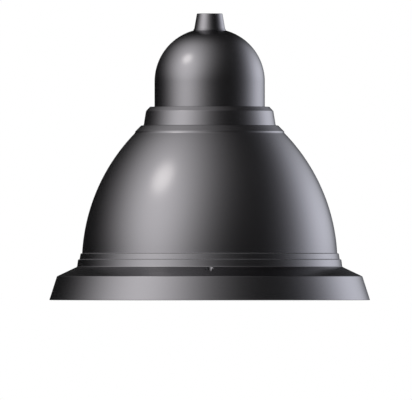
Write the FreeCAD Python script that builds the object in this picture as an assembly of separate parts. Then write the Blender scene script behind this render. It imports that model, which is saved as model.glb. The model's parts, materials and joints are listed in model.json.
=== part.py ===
# LED garden lamp: a bell-shaped pendant head that hangs by a threaded neck.
#
# The origin is the centre of the rim's bottom edge and +Z is up. Lengths are in millimetres, and a
# name that starts with z_ is a height above the rim. The outer form is stacked from the rim upwards,
# so a changed size moves all that stands on it. Each function makes one piece, or one set of like pieces.

import FreeCAD
import Part

import math
import os
from collections import namedtuple

Vector = FreeCAD.Vector
AXIS = Vector(0, 0, 1)
X_AXIS = Vector(1, 0, 0)

# Clearances
FIT_GAP = 0.3  # between pieces that slot together
THREAD_GAP = 0.1  # round a screw's shank in its tapped hole
HOLE_GAP = 0.4  # round a screw's shank in a plain hole
TIP_GAP = 1.0  # left under a screw's tip in a blind hole

# Outer form of the rim frame and of the bell, from the bottom edge up
RIM_RADIUS = 260.0  # outside, at the bottom edge
RIM_HEIGHT = 34.3  # bottom edge to parting line
RIM_FLARE = 11.0  # how far the band leans in over that height
LIP_HEIGHT = 4.3  # edge of the bell's flange, which carries the band's slope on
SHOULDER_WIDTH = 32.6  # sloping shoulder, lip to beads
SHOULDER_RISE = 15.4
LOWER_BEAD_HEIGHT = 12.0
UPPER_BEAD_HEIGHT = 9.7
BEAD_TAPER = 1.6  # lean of each bead's face
BEAD_STEP = 2.5  # step in from each bead to the next form above
BELL_HEIGHT = 195.5
BELL_TOP_RADIUS = 120.8
BELL_ARC_RADIUS = 303.2
CROWN_EDGE = 2.2  # upright edge where the bell's curve ends
CROWN_CHAMFER = 9.8

# Outer form of the collar, the dome and the neck
COLLAR_SETBACK = 3.9  # bare deck outside the collar's foot
COLLAR_TAPER = 3.8
COLLAR_WALL_HEIGHT = 23.2
COLLAR_CHAMFER_WIDTH = 6.5
COLLAR_CHAMFER_HEIGHT = 7.0
COLLAR_LEDGE = 7.4  # flat top between the chamfer and the dome
DOME_STRAIGHT = 41.0  # upright wall above the collar
DOME_ARC_OFFSET = 3.65  # from the lamp's axis out to the centre of the dome's curve
NECK_HEIGHT = 27.5
NECK_TOP_RADIUS = 20.7
NECK_BEAD = 1.0  # how far the low bead at the neck's foot stands out from the cone
NECK_BEAD_HEIGHT = 2.2
EDGE_FILLET = 0.9  # on the cast edges that show

# Walls
BELL_WALL = 3.0
DECK_THICKNESS = 7.0  # the bell's flat top
DOME_WALL = 3.0
COLLAR_WALL = 4.0
RIM_WALL = 4.0

# Rim frame: the splayed soffit round the light's mouth, and the seal under the bell's flange
RIM_LAND = 8.0  # flat bottom edge
SOFFIT_RISE = 14.0
SHELF_THICKNESS = 4.0
UPSTAND_WALL = 3.0
UPSTAND_HEIGHT = 5.0
UPSTAND_GAP = 3.2  # between the upstand round the gasket and the frame screws' bosses
SEAT_WIDTH = 9.0  # top land that meets the flange
SEAT_DEPTH = 5.0
SEAL_WIDTH = 4.0
SEAL_DEPTH = 2.5

# Glass and its gasket
GLASS_THICKNESS = 4.0
GLASS_LAP = 10.0  # how far the pane lies on the shelf
GASKET_LEG = 2.0
GASKET_WEB = 2.5
GASKET_GRIP = 6.0
CLIP_COUNT = 6
CLIP_WIDTH = 16.0
CLIP_THICKNESS = 2.0
CLIP_BITE = 4.0  # how far a clip reaches over the gasket
CLIP_BOSS_RADIUS = 4.5
CLIP_TAIL = 6.0  # beyond the screw's axis

# Frame screws, sunk in the shoulder: the first is at the front
FRAME_SCREW_COUNT = 3
FRAME_SCREW_FIRST = -90.0
FRAME_SCREW_INSET = 8.0  # from the lower bead out to the screw's axis
FRAME_SCREW_LENGTH = 25.0
POCKET_RADIUS = 6.8
POCKET_DEPTH = 10.8  # under the shoulder, at the screw's axis
PAD_WALL = 3.0
FRAME_BOSS_RADIUS = 8.0
SEALING_WASHER_THICKNESS = 1.2

# LED engine
SINK_SEAT = 16.0  # seat above the shoulder's inner edge
SINK_GAP = 4.0  # between heat sink and bell
SINK_THICKNESS = 5.0
SINK_SCREW_COUNT = 6
SINK_SCREW_INSET = 8.0
SINK_BOSS_RADIUS = 6.5
SINK_BOSS_HEIGHT = 24.0
SINK_WEB = 7.0  # thickness of the web between a boss and the bell's wall
FIN_COUNT = 24
FIN_HEIGHT = 25.0
FIN_THICKNESS = 2.0
FIN_MARGIN = 21.0  # bare edge of the plate outside the fins
FIN_LEAD_GAP = 3.0  # between the fins' inner ends and the output lead's grommet
BOARD_BORDER = 68.0  # heat sink outside the board
BOARD_THICKNESS = 1.6
LED_SIDE = 5.0
LED_HEIGHT = 1.4
LED_EDGE = 22.0  # from the board's edge in to the outer ring of LEDs
LED_RING_STEP = 35.0
LED_PITCH = 38.0  # along a ring, at least
BOARD_SCREW_COUNT = 6
LENS_PLATE_THICKNESS = 4.0
LENS_PLATE_MARGIN = 23.0  # plate outside the board
LENS_RADIUS = 9.5
LENS_RISE = 5.5
LENS_POCKET_RADIUS = 4.5
LENS_POCKET_DEPTH = 1.7
LENS_SEAL_THICKNESS = 2.2
LENS_SEAL_WIDTH = 8.0
LENS_SCREW_COUNT = 9
REFLECTOR_WALL = 1.2
REFLECTOR_FLANGE = 18.0
REFLECTOR_SCREW_COUNT = 6
REFLECTOR_LIFT = 3.0  # gap over the glass

# Gear tray and what hangs under it
STANDOFF_INSET = 11.7  # from the deck's edge
STANDOFF_ANGLES = (20.0, 160.0, 270.0)
STANDOFF_LENGTH = 45.0
STANDOFF_FLATS = 10.0
STUD_LENGTH = 5.0
STUD_RADIUS = 2.5
TRAY_RADIUS = 125.0
TRAY_THICKNESS = 2.0
CABLE_HOLE_RADIUS = 15.0
DRIVER_SIZE = (150.0, 62.0, 36.0)
DRIVER_OFFSET = 48.0  # from the axis towards the front
DRIVER_EAR = 12.0
DRIVER_EAR_THICKNESS = 3.0
DRIVER_FILLET = 4.0
TERMINAL_SIZE = (50.0, 24.0, 18.0)
TERMINAL_PLACE = (-30.0, 50.0)
TERMINAL_POLE_COUNT = 3
TERMINAL_FLOOR = 1.5  # below the lead where it enters
TERMINAL_WELL_RADIUS = 3.0
TERMINAL_WELL_DEPTH = 8.0
SURGE_SIZE = (46.0, 32.0, 26.0)
SURGE_PLACE = (46.0, 54.0)
SURGE_FILLET = 3.0
LUG_LENGTH = 9.0  # fixing lug at each end of the terminal block and of the surge protector
LUG_THICKNESS = 3.0

# Leads, grommets and cable gland
LEAD_RADIUS = 3.5
LEAD_BEND = 18.0
INPUT_LEAD_REACH = 26.0  # out past the driver's end
OUTPUT_LEAD_REACH = 30.0
OUTPUT_LEAD_LIFT = 16.0  # over the fins
OUTPUT_LEAD_X = 22.0  # where it goes down through the heat sink
GROMMET_LIP = 3.0
GROMMET_LIP_THICKNESS = 2.0
GROMMET_WALL = 3.5
DECK_HOLE_RADIUS = 13.0
GLAND_RADIUS = 8.0
GLAND_THREAD_LENGTH = 9.0
GLAND_FLATS = 22.0
GLAND_HEX_HEIGHT = 6.0
GLAND_BORE = 5.0
GLAND_STEM_RADIUS = 9.0
GLAND_STEM_LENGTH = 8.0
GLAND_CAP_LENGTH = 14.0
GLAND_CAP_WALL = 2.0
GLAND_SEAL_BORE = 3.5

# Neck: pipe thread, shank through the dome, and what clamps it
THREAD_RADIUS = 12.06  # minor radius of a 3/4 inch pipe thread
THREAD_LENGTH = 28.0
THREAD_LEAD_IN = 1.2
SHANK_RADIUS = 19.0
SHANK_TAIL = 3.0  # below the locknut
NECK_SEAL_WIDTH = 3.0
NECK_SEAL_DEPTH = 1.6
NECK_SEAL_LAND = 2.1  # each side of the seal's groove
CROWN_BOSS_MARGIN = 3.0  # flat inside the top of the dome, outside the washer
CROWN_BOSS_PROUD = 1.0
WASHER_RADIUS = 30.0
WASHER_THICKNESS = 2.0
LOCKNUT_FLATS = 50.0
LOCKNUT_HEIGHT = 9.0
GRUB_SCREW_DROP = 10.0  # below the neck's top
GRUB_SCREW_LENGTH = 8.0
GRUB_SCREW_RADIUS = 3.0

# Dome foot and collar
DOME_FLANGE_WIDTH = 8.0
DOME_FLANGE_THICKNESS = 3.5
DOME_GASKET_THICKNESS = 2.0
COLLAR_SCREW_COUNT = 6
COLLAR_SCREW_INSET = 4.7  # from the collar's foot in to the screw's axis
COLLAR_SCREW_BITE = 8.0

# Screws: shank radius, head radius, head height and hexagon socket across flats
ScrewSize = namedtuple("ScrewSize", "shank head head_height socket")
M6_CAP = ScrewSize(3.0, 5.0, 6.0, 5.0)
M5_CAP = ScrewSize(2.5, 4.2, 4.0, 4.0)
M4_PAN = ScrewSize(2.0, 3.8, 2.6, 2.5)
M3_LOW = ScrewSize(1.5, 2.8, 1.5, 2.0)
SOCKET_SHARE = 0.55  # depth of a socket as a share of the head's height

# Heights and radii that follow from the sizes above
z_parting = RIM_HEIGHT
z_shoulder = z_parting + LIP_HEIGHT
z_lower_bead = z_shoulder + SHOULDER_RISE
z_upper_bead = z_lower_bead + LOWER_BEAD_HEIGHT
z_bell_foot = z_upper_bead + UPPER_BEAD_HEIGHT
z_bell_top = z_bell_foot + BELL_HEIGHT
z_deck = z_bell_top + CROWN_EDGE + CROWN_CHAMFER
z_deck_under = z_deck - DECK_THICKNESS
z_collar_chamfer = z_deck + COLLAR_WALL_HEIGHT
z_collar_top = z_collar_chamfer + COLLAR_CHAMFER_HEIGHT
z_dome_arc = z_collar_top + DOME_STRAIGHT
z_dome_foot = z_deck + DOME_GASKET_THICKNESS
z_dome_flange = z_dome_foot + DOME_FLANGE_THICKNESS

rim_slope = RIM_FLARE / RIM_HEIGHT
rim_top_radius = RIM_RADIUS - RIM_FLARE
shoulder_radius = rim_top_radius - rim_slope * LIP_HEIGHT
bead_radius = shoulder_radius - SHOULDER_WIDTH
upper_bead_radius = bead_radius - BEAD_TAPER - BEAD_STEP
bell_foot_radius = upper_bead_radius - BEAD_TAPER - BEAD_STEP
bell_inner_radius = bell_foot_radius - BELL_WALL
shoulder_slope = SHOULDER_RISE / SHOULDER_WIDTH
crown_radius = BELL_TOP_RADIUS - CROWN_CHAMFER

# Frame screws, and the light's mouth inside them
frame_screw_circle = bead_radius + FRAME_SCREW_INSET
z_pocket = z_lower_bead - shoulder_slope * FRAME_SCREW_INSET - POCKET_DEPTH
z_frame_head = z_pocket + SEALING_WASHER_THICKNESS
upstand_outer = frame_screw_circle - FRAME_BOSS_RADIUS - UPSTAND_GAP
upstand_radius = upstand_outer - UPSTAND_WALL
gasket_radius = upstand_radius - FIT_GAP
glass_radius = gasket_radius - GASKET_WEB
gasket_inner_radius = glass_radius - GASKET_GRIP
mouth_radius = glass_radius - GLASS_LAP

# Shelf, glass and gasket
z_shelf = SOFFIT_RISE + SHELF_THICKNESS
z_glass = z_shelf + GASKET_LEG
z_glass_top = z_glass + GLASS_THICKNESS
z_gasket_top = z_glass_top + GASKET_LEG
soffit_foot = RIM_RADIUS - RIM_LAND
soffit_slope = SOFFIT_RISE / (soffit_foot - mouth_radius)
clip_circle = upstand_radius + UPSTAND_WALL / 2 + CLIP_BOSS_RADIUS

# LED engine, hung from the bell's bosses
z_sink_top = z_lower_bead + SINK_SEAT
z_sink_under = z_sink_top - SINK_THICKNESS
z_board_under = z_sink_under - BOARD_THICKNESS
z_lens_top = z_sink_under - LENS_SEAL_THICKNESS
z_lens_under = z_lens_top - LENS_PLATE_THICKNESS
sink_radius = bell_inner_radius - SINK_GAP
sink_screw_circle = sink_radius - SINK_SCREW_INSET
board_radius = sink_radius - BOARD_BORDER
led_outer_ring = board_radius - LED_EDGE
board_screw_circle = led_outer_ring - LED_RING_STEP / 2
lens_plate_radius = board_radius + LENS_PLATE_MARGIN
lens_seal_inner = board_radius + FIT_GAP
lens_screw_circle = lens_plate_radius - 1.5 * M4_PAN.head
reflector_inner = lens_plate_radius + 2 * FIT_GAP
reflector_shoulder = reflector_inner + REFLECTOR_FLANGE
reflector_screw_circle = reflector_inner + REFLECTOR_FLANGE / 2
reflector_mouth = gasket_inner_radius - REFLECTOR_WALL - FIT_GAP

# Collar, dome and neck
collar_foot_radius = crown_radius - COLLAR_SETBACK
collar_edge_radius = collar_foot_radius - COLLAR_TAPER
collar_top_radius = collar_edge_radius - COLLAR_CHAMFER_WIDTH
collar_screw_circle = collar_foot_radius - COLLAR_SCREW_INSET
standoff_circle = crown_radius - STANDOFF_INSET
dome_radius = collar_top_radius - COLLAR_LEDGE
dome_arc_radius = dome_radius - DOME_ARC_OFFSET
dome_foot_radius = dome_radius + DOME_FLANGE_WIDTH
neck_seal_inner = SHANK_RADIUS + NECK_SEAL_LAND
neck_seal_outer = neck_seal_inner + NECK_SEAL_WIDTH
neck_foot_radius = neck_seal_outer + NECK_SEAL_LAND
neck_cone_radius = neck_foot_radius - NECK_BEAD
neck_seat_radius = neck_foot_radius + FIT_GAP
crown_boss_radius = WASHER_RADIUS + CROWN_BOSS_MARGIN


def dome_height(radius, wall=0.0):
    """Height of the dome's curve at a radius, on its outside or that far under it."""
    return z_dome_arc + math.sqrt((dome_arc_radius - wall) ** 2 - (radius - DOME_ARC_OFFSET) ** 2)


z_neck_seat = dome_height(neck_seat_radius)
z_neck_top = z_neck_seat + NECK_HEIGHT
z_thread_end = z_neck_top - THREAD_LENGTH
z_crown_boss = dome_height(crown_boss_radius, DOME_WALL) - CROWN_BOSS_PROUD
z_washer = z_crown_boss - WASHER_THICKNESS
z_locknut = z_washer - LOCKNUT_HEIGHT
z_shank_end = z_locknut - SHANK_TAIL
z_gland_hex = z_shank_end - GLAND_HEX_HEIGHT
z_gland_stem = z_gland_hex - GLAND_STEM_LENGTH
z_gland_cap = z_gland_hex - GLAND_CAP_LENGTH

# Gear tray
z_tray_top = z_deck_under - STANDOFF_LENGTH
z_tray = z_tray_top - TRAY_THICKNESS
z_lead = z_tray - DRIVER_SIZE[2] / 2
z_terminal_lead = z_tray - TERMINAL_SIZE[2] + LEAD_RADIUS + TERMINAL_FLOOR


def bell_arc_centre():
    """Centre, as (radius, height), of the arc that joins the bell's foot and its top."""
    half_width = (BELL_TOP_RADIUS - bell_foot_radius) / 2
    half_height = BELL_HEIGHT / 2
    half_chord = math.hypot(half_width, half_height)
    reach = math.sqrt(BELL_ARC_RADIUS**2 - half_chord**2) / half_chord
    middle = (bell_foot_radius + half_width, z_bell_foot + half_height)
    return middle[0] - half_height * reach, middle[1] + half_width * reach


bell_centre_radius, bell_centre_z = bell_arc_centre()


def bell_radius(z, wall=0.0):
    """Radius of the bell's curve at a height, on its outside or that far under it."""
    return bell_centre_radius + math.sqrt((BELL_ARC_RADIUS - wall) ** 2 - (z - bell_centre_z) ** 2)


def shoulder_height(radius):
    """Height of the sloping shoulder at a radius."""
    return z_lower_bead - shoulder_slope * (radius - bead_radius)


def soffit_height(radius):
    """Height of the soffit's underside at a radius."""
    return soffit_slope * (soffit_foot - radius)


def band_inner_radius(z):
    """Inside of the rim's band at a height."""
    return RIM_RADIUS - RIM_WALL - rim_slope * z


# Shape helpers

Bend = namedtuple("Bend", "radius z")  # the stretch from the corner before it passes through this point


def upright(radius, z):
    """A point of an outline, in the XZ plane."""
    return Vector(radius, 0, z)


def corner_points(before, corner, after, fillet):
    """Start, middle and end of the round that a fillet makes at a corner."""
    back = (before - corner).normalize()
    ahead = (after - corner).normalize()
    half_angle = back.getAngle(ahead) / 2
    middle = (back + ahead).normalize() * (fillet / math.sin(half_angle) - fillet)
    setback = fillet / math.tan(half_angle)
    return corner + back * setback, corner + middle, corner + ahead * setback


def outline_wire(outline):
    """A closed wire of (radius, z) corners, where a third value rounds one and a Bend makes an arc."""
    corners = [step for step in outline if not isinstance(step, Bend)]
    points = [upright(step[0], step[1]) for step in corners]
    bends = {}
    for index, step in enumerate(outline):
        if isinstance(step, Bend):
            bends[corners.index(outline[index - 1])] = upright(*step)
    rounds = []
    for index, step in enumerate(corners):
        point = points[index]
        if len(step) == 3:
            after = points[(index + 1) % len(points)]
            rounds.append(corner_points(points[index - 1], point, after, step[2]))
        else:
            rounds.append((point, None, point))
    edges = []
    for index, (start, middle, end) in enumerate(rounds):
        if middle is not None:
            edges.append(Part.Arc(start, middle, end).toShape())
        next_start = rounds[(index + 1) % len(rounds)][0]
        if index in bends:
            edges.append(Part.Arc(end, bends[index], next_start).toShape())
        else:
            edges.append(Part.LineSegment(end, next_start).toShape())
    return Part.Wire(edges)


def turned(outline):
    """A solid turned about the lamp's axis from a closed outline."""
    return Part.Face(outline_wire(outline)).revolve(Vector(), AXIS, 360)


def place(radius, angle, z=0.0):
    """A point at a radius and an angle, in degrees, round the lamp's axis."""
    turn = math.radians(angle)
    return Vector(radius * math.cos(turn), radius * math.sin(turn), z)


def angles_round(count, first=0.0):
    """Evenly spaced angles round the axis, in degrees."""
    return [first + 360.0 * index / count for index in range(count)]


def rod(radius, z_low, z_high, at=Vector()):
    """An upright cylinder between two heights."""
    return Part.makeCylinder(radius, z_high - z_low, Vector(at.x, at.y, z_low))


def ring(inner, outer, z_low, z_high):
    """A flat ring about the lamp's axis."""
    return rod(outer, z_low, z_high).cut(rod(inner, z_low, z_high))


def hexagon(flats, z_low, z_high, at=Vector()):
    """An upright hexagonal bar, by its width across flats."""
    corners = [place(flats / math.sqrt(3), angle, z_low) for angle in angles_round(6)]
    face = Part.Face(Part.makePolygon([corner + Vector(at.x, at.y, 0) for corner in corners + corners[:1]]))
    return face.extrude(Vector(0, 0, z_high - z_low))


def block(size, centre_x, centre_y, z_low):
    """A box by its size, the middle of its plan and its lowest height."""
    return Part.makeBox(*size, Vector(centre_x - size[0] / 2, centre_y - size[1] / 2, z_low))


def screw(size, length, at, pointing_up=False):
    """A socket screw whose head bears at a point, with its shank down, or up."""
    head = rod(size.head, 0, size.head_height).fuse(rod(size.shank, -length, 0))
    socket = hexagon(size.socket, size.head_height * (1 - SOCKET_SHARE), size.head_height)
    body = head.removeSplitter().cut(socket)
    if pointing_up:
        body.rotate(Vector(), X_AXIS, 180)
    body.translate(at)
    return body


def screw_set(size, length, circle, angles, z, pointing_up=False):
    """Like screws on a circle, as separate solids."""
    return Part.makeCompound([screw(size, length, place(circle, angle, z), pointing_up) for angle in angles])


def drilled(body, radius, z_low, z_high, spots):
    """The body with an upright hole at each spot."""
    return body.cut([rod(radius, z_low, z_high, spot) for spot in spots])


def circle_spots(circle, angles):
    """Points at angles round a circle about the axis."""
    return [place(circle, angle) for angle in angles]


def grommet(hole_radius, bore, z_low, z_high, at=Vector()):
    """A rubber grommet that grips the edge of a hole in a plate between two heights."""
    neck = hole_radius - FIT_GAP
    lip = hole_radius + GROMMET_LIP
    body = turned(
        [
            (bore, z_low - GROMMET_LIP_THICKNESS),
            (lip, z_low - GROMMET_LIP_THICKNESS),
            (lip, z_low),
            (neck, z_low),
            (neck, z_high),
            (lip, z_high),
            (lip, z_high + GROMMET_LIP_THICKNESS),
            (bore, z_high + GROMMET_LIP_THICKNESS),
        ]
    )
    body.translate(at)
    return body


def lead(points, bend):
    """A round lead along straight runs joined by tangent arcs."""
    edges = []
    start = points[0]
    for before, corner, after in zip(points, points[1:], points[2:]):
        into, middle, out = corner_points(before, corner, after, bend)
        edges.append(Part.LineSegment(start, into).toShape())
        edges.append(Part.Arc(into, middle, out).toShape())
        start = out
    edges.append(Part.LineSegment(start, points[-1]).toShape())
    section = Part.Wire(Part.makeCircle(LEAD_RADIUS, points[0], points[1] - points[0]))
    return Part.Wire(edges).makePipeShell([section], True, True)


def led_rings():
    """Radii of the rings of LEDs, from the outer one in to the last that leaves the board's middle clear."""
    ring_count = int(led_outer_ring / LED_RING_STEP)
    return [led_outer_ring - LED_RING_STEP * index for index in range(ring_count)]


def led_ring_spots(radius):
    """Evenly spaced LEDs on a ring, no closer than their pitch."""
    count = int(2 * math.pi * radius / LED_PITCH)
    return circle_spots(radius, angles_round(count, 180.0 / count))


# Angles and spots that several pieces share
frame_screw_angles = angles_round(FRAME_SCREW_COUNT, FRAME_SCREW_FIRST)
clip_angles = angles_round(CLIP_COUNT, FRAME_SCREW_FIRST + 180.0 / CLIP_COUNT)
sink_screw_angles = angles_round(SINK_SCREW_COUNT)
collar_screw_angles = angles_round(COLLAR_SCREW_COUNT)
lens_screw_angles = angles_round(LENS_SCREW_COUNT)
reflector_screw_angles = angles_round(REFLECTOR_SCREW_COUNT, 180.0 / REFLECTOR_SCREW_COUNT)
board_screw_spots = circle_spots(board_screw_circle, angles_round(BOARD_SCREW_COUNT))
led_spots = [spot for radius in led_rings() for spot in led_ring_spots(radius)]
output_lead_spot = Vector(OUTPUT_LEAD_X, -DRIVER_OFFSET, 0)
sink_hole_radius = LEAD_RADIUS + GROMMET_WALL
fin_inner_radius = output_lead_spot.Length + sink_hole_radius + GROMMET_LIP + FIN_LEAD_GAP

driver_screw_spots = [
    Vector(side * (DRIVER_SIZE[0] + DRIVER_EAR) / 2, -DRIVER_OFFSET + row * DRIVER_SIZE[1] / 4, 0)
    for side in (-1, 1)
    for row in (-1, 1)
]


def lug_spots(size, centre):
    """Screw places in the lugs at the two ends of a block."""
    return [Vector(centre[0] + side * (size[0] + LUG_LENGTH) / 2, centre[1], 0) for side in (-1, 1)]


terminal_screw_spots = lug_spots(TERMINAL_SIZE, TERMINAL_PLACE)
surge_screw_spots = lug_spots(SURGE_SIZE, SURGE_PLACE)
gear_screw_spots = driver_screw_spots + terminal_screw_spots + surge_screw_spots


# Rim frame, glass and seal


def rim_envelope():
    """The space between the rim's outside and its soffit, which every boss stays inside."""
    return turned(
        [
            (RIM_RADIUS, 0),
            (rim_top_radius, z_parting),
            (mouth_radius, z_parting),
            (mouth_radius, SOFFIT_RISE),
            (soffit_foot, 0),
        ]
    )


def seal_groove_radii():
    """Inside and outside of the groove in the middle of the rim frame's top land."""
    middle = rim_top_radius - SEAT_WIDTH / 2
    return middle - SEAL_WIDTH / 2, middle + SEAL_WIDTH / 2


def rim_frame():
    """Cast frame: the flared band, the soffit that shelves the glass, and bosses for screws and clips."""
    groove_inner, groove_outer = seal_groove_radii()
    seat_inner = rim_top_radius - SEAT_WIDTH
    z_groove = z_parting - SEAL_DEPTH
    z_seat_under = z_parting - SEAT_DEPTH
    z_seat_haunch = z_seat_under - (band_inner_radius(z_seat_under) - seat_inner)
    valley_rise = soffit_slope * (soffit_foot - RIM_RADIUS + RIM_WALL) + SHELF_THICKNESS
    z_valley = valley_rise / (1 - soffit_slope * rim_slope)
    frame = turned(
        [
            (RIM_RADIUS, 0, EDGE_FILLET),
            (rim_top_radius, z_parting),
            (groove_outer, z_parting),
            (groove_outer, z_groove),
            (groove_inner, z_groove),
            (groove_inner, z_parting),
            (seat_inner, z_parting),
            (seat_inner, z_seat_under),
            (band_inner_radius(z_seat_haunch), z_seat_haunch),
            (band_inner_radius(z_valley), z_valley),
            (upstand_outer, soffit_height(upstand_outer) + SHELF_THICKNESS),
            (upstand_outer, z_shelf + UPSTAND_HEIGHT),
            (upstand_radius, z_shelf + UPSTAND_HEIGHT),
            (upstand_radius, z_shelf),
            (mouth_radius, z_shelf, EDGE_FILLET),
            (mouth_radius, SOFFIT_RISE, EDGE_FILLET),
            (soffit_foot, 0, EDGE_FILLET),
        ]
    )
    screw_spots = circle_spots(frame_screw_circle, frame_screw_angles)
    clip_spots = circle_spots(clip_circle, clip_angles)
    bosses = [rod(FRAME_BOSS_RADIUS, 0, z_parting, spot) for spot in screw_spots]
    bosses += [rod(CLIP_BOSS_RADIUS, 0, z_gasket_top, spot) for spot in clip_spots]
    frame = frame.fuse([boss.common(rim_envelope()) for boss in bosses]).removeSplitter()
    z_tip = z_frame_head - FRAME_SCREW_LENGTH - TIP_GAP
    frame = drilled(frame, M6_CAP.shank + THREAD_GAP, z_tip, z_parting, screw_spots)
    z_clip_tip = z_gasket_top - clip_screw_bite() - TIP_GAP
    return drilled(frame, M4_PAN.shank + THREAD_GAP, z_clip_tip, z_gasket_top, clip_spots)


def frame_seal():
    """Square silicone cord in the rim frame's groove, pressed by the bell's flange."""
    groove_inner, groove_outer = seal_groove_radii()
    return ring(groove_inner + FIT_GAP, groove_outer - FIT_GAP, z_parting - SEAL_DEPTH, z_parting)


def frame_screws():
    """Cap screws that hold the rim frame up to the bell's flange."""
    return screw_set(M6_CAP, FRAME_SCREW_LENGTH, frame_screw_circle, frame_screw_angles, z_frame_head)


def frame_screw_washers():
    """Bonded sealing washers under the frame screws' heads."""
    washer = ring(M6_CAP.shank + HOLE_GAP / 2, POCKET_RADIUS - FIT_GAP, z_pocket, z_frame_head)
    spots = circle_spots(frame_screw_circle, frame_screw_angles)
    return Part.makeCompound([washer.translated(spot) for spot in spots])


def glass_pane():
    """Flat toughened glass with a ground edge."""
    ground_edge = GLASS_THICKNESS / 5
    pane = rod(glass_radius, z_glass, z_glass_top)
    return pane.makeChamfer(ground_edge, pane.Edges[:1] + pane.Edges[2:])


def glass_gasket():
    """Silicone channel round the edge of the glass."""
    return turned(
        [
            (gasket_inner_radius, z_shelf),
            (gasket_radius, z_shelf),
            (gasket_radius, z_gasket_top),
            (gasket_inner_radius, z_gasket_top),
            (gasket_inner_radius, z_glass_top),
            (glass_radius, z_glass_top),
            (glass_radius, z_glass),
            (gasket_inner_radius, z_glass),
        ]
    )


def clip_screw_bite():
    """How deep a clip screw goes into its boss: the boss's own height above the soffit."""
    return z_gasket_top - soffit_height(clip_circle) - SHELF_THICKNESS


def glass_clips():
    """Flat spring clips that press the gasket on to the shelf."""
    inner = gasket_inner_radius + CLIP_BITE
    length = clip_circle + CLIP_TAIL - inner
    z_top = z_gasket_top + CLIP_THICKNESS
    strip = Part.makeBox(length, CLIP_WIDTH, CLIP_THICKNESS, Vector(inner, -CLIP_WIDTH / 2, z_gasket_top))
    clip = drilled(strip, M4_PAN.shank + HOLE_GAP, z_gasket_top, z_top, [upright(clip_circle, 0)])
    return Part.makeCompound([clip.rotated(Vector(), AXIS, angle) for angle in clip_angles])


def clip_screws():
    """Screws that hold the glass clips."""
    length = clip_screw_bite() + CLIP_THICKNESS
    return screw_set(M4_PAN, length, clip_circle, clip_angles, z_gasket_top + CLIP_THICKNESS)


# Bell, collar and dome


def bell_outline_outside():
    """Outside of the bell, from the parting line up to the edge of its deck."""
    z_middle = z_bell_foot + BELL_HEIGHT / 2
    return [
        (rim_top_radius, z_parting),
        (shoulder_radius, z_shoulder, EDGE_FILLET),
        (bead_radius, z_lower_bead),
        (bead_radius - BEAD_TAPER, z_upper_bead, EDGE_FILLET),
        (upper_bead_radius, z_upper_bead),
        (upper_bead_radius - BEAD_TAPER, z_bell_foot, EDGE_FILLET),
        (bell_foot_radius, z_bell_foot),
        Bend(bell_radius(z_middle), z_middle),
        (BELL_TOP_RADIUS, z_bell_top),
        (BELL_TOP_RADIUS, z_bell_top + CROWN_EDGE, EDGE_FILLET),
        (crown_radius, z_deck, EDGE_FILLET),
    ]


def bell_outline_inside():
    """Inside of the bell, from the middle of its deck down to the flange's inner edge."""
    z_middle = (z_bell_foot + z_deck_under) / 2
    under_wall = BELL_WALL * math.hypot(1, shoulder_slope)
    flange_inner = rim_top_radius - SEAT_WIDTH
    return [
        (DECK_HOLE_RADIUS, z_deck),
        (DECK_HOLE_RADIUS, z_deck_under),
        (bell_radius(z_deck_under, BELL_WALL), z_deck_under),
        Bend(bell_radius(z_middle, BELL_WALL), z_middle),
        (bell_radius(z_bell_foot, BELL_WALL), z_bell_foot),
        (bell_radius(z_bell_foot, BELL_WALL), z_lower_bead - under_wall),
        (bead_radius, z_lower_bead - under_wall),
        (flange_inner, shoulder_height(flange_inner) - under_wall),
        (flange_inner, z_parting),
    ]


def sink_boss(angle):
    """Post for a heat sink screw, with a web out to the bell's wall."""
    z_top = z_sink_top + SINK_BOSS_HEIGHT
    post = rod(SINK_BOSS_RADIUS, z_sink_top, z_top, place(sink_screw_circle, angle))
    corner = Vector(sink_screw_circle, -SINK_WEB / 2, z_sink_top)
    web = Part.makeBox(bell_foot_radius - sink_screw_circle, SINK_WEB, SINK_BOSS_HEIGHT, corner)
    return post.fuse(web.rotated(Vector(), AXIS, angle))


def bell_housing():
    """Cast bell: shell, beads, sloping shoulder with screw pockets, and the bosses inside it."""
    envelope = turned(bell_outline_outside() + [(DECK_HOLE_RADIUS, z_deck), (DECK_HOLE_RADIUS, z_parting)])
    shell = turned(bell_outline_outside() + bell_outline_inside())
    pocket_spots = circle_spots(frame_screw_circle, frame_screw_angles)
    sink_spots = circle_spots(sink_screw_circle, sink_screw_angles)
    pads = [rod(POCKET_RADIUS + PAD_WALL, z_parting, z_lower_bead, spot) for spot in pocket_spots]
    sink_bosses = [sink_boss(angle) for angle in sink_screw_angles]
    body = shell.fuse([boss.common(envelope) for boss in pads + sink_bosses]).removeSplitter()
    body = drilled(body, POCKET_RADIUS, z_pocket, z_lower_bead, pocket_spots)
    body = drilled(body, M6_CAP.shank + HOLE_GAP, z_parting, z_pocket, pocket_spots)
    z_sink_tip = z_sink_top + sink_screw_bite() + TIP_GAP
    body = drilled(body, M5_CAP.shank + THREAD_GAP, z_sink_top, z_sink_tip, sink_spots)
    collar_spots = circle_spots(collar_screw_circle, collar_screw_angles)
    body = drilled(body, M4_PAN.shank + HOLE_GAP, z_deck_under, z_deck, collar_spots)
    z_stud_tip = z_deck_under + STUD_LENGTH + FIT_GAP
    stud_spots = circle_spots(standoff_circle, STANDOFF_ANGLES)
    return drilled(body, STUD_RADIUS + THREAD_GAP, z_deck_under, z_stud_tip, stud_spots)


def deck_grommet():
    """Rubber grommet where the supply cable passes through the bell's deck."""
    return grommet(DECK_HOLE_RADIUS, DECK_HOLE_RADIUS - GROMMET_WALL, z_deck_under, z_deck)


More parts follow.
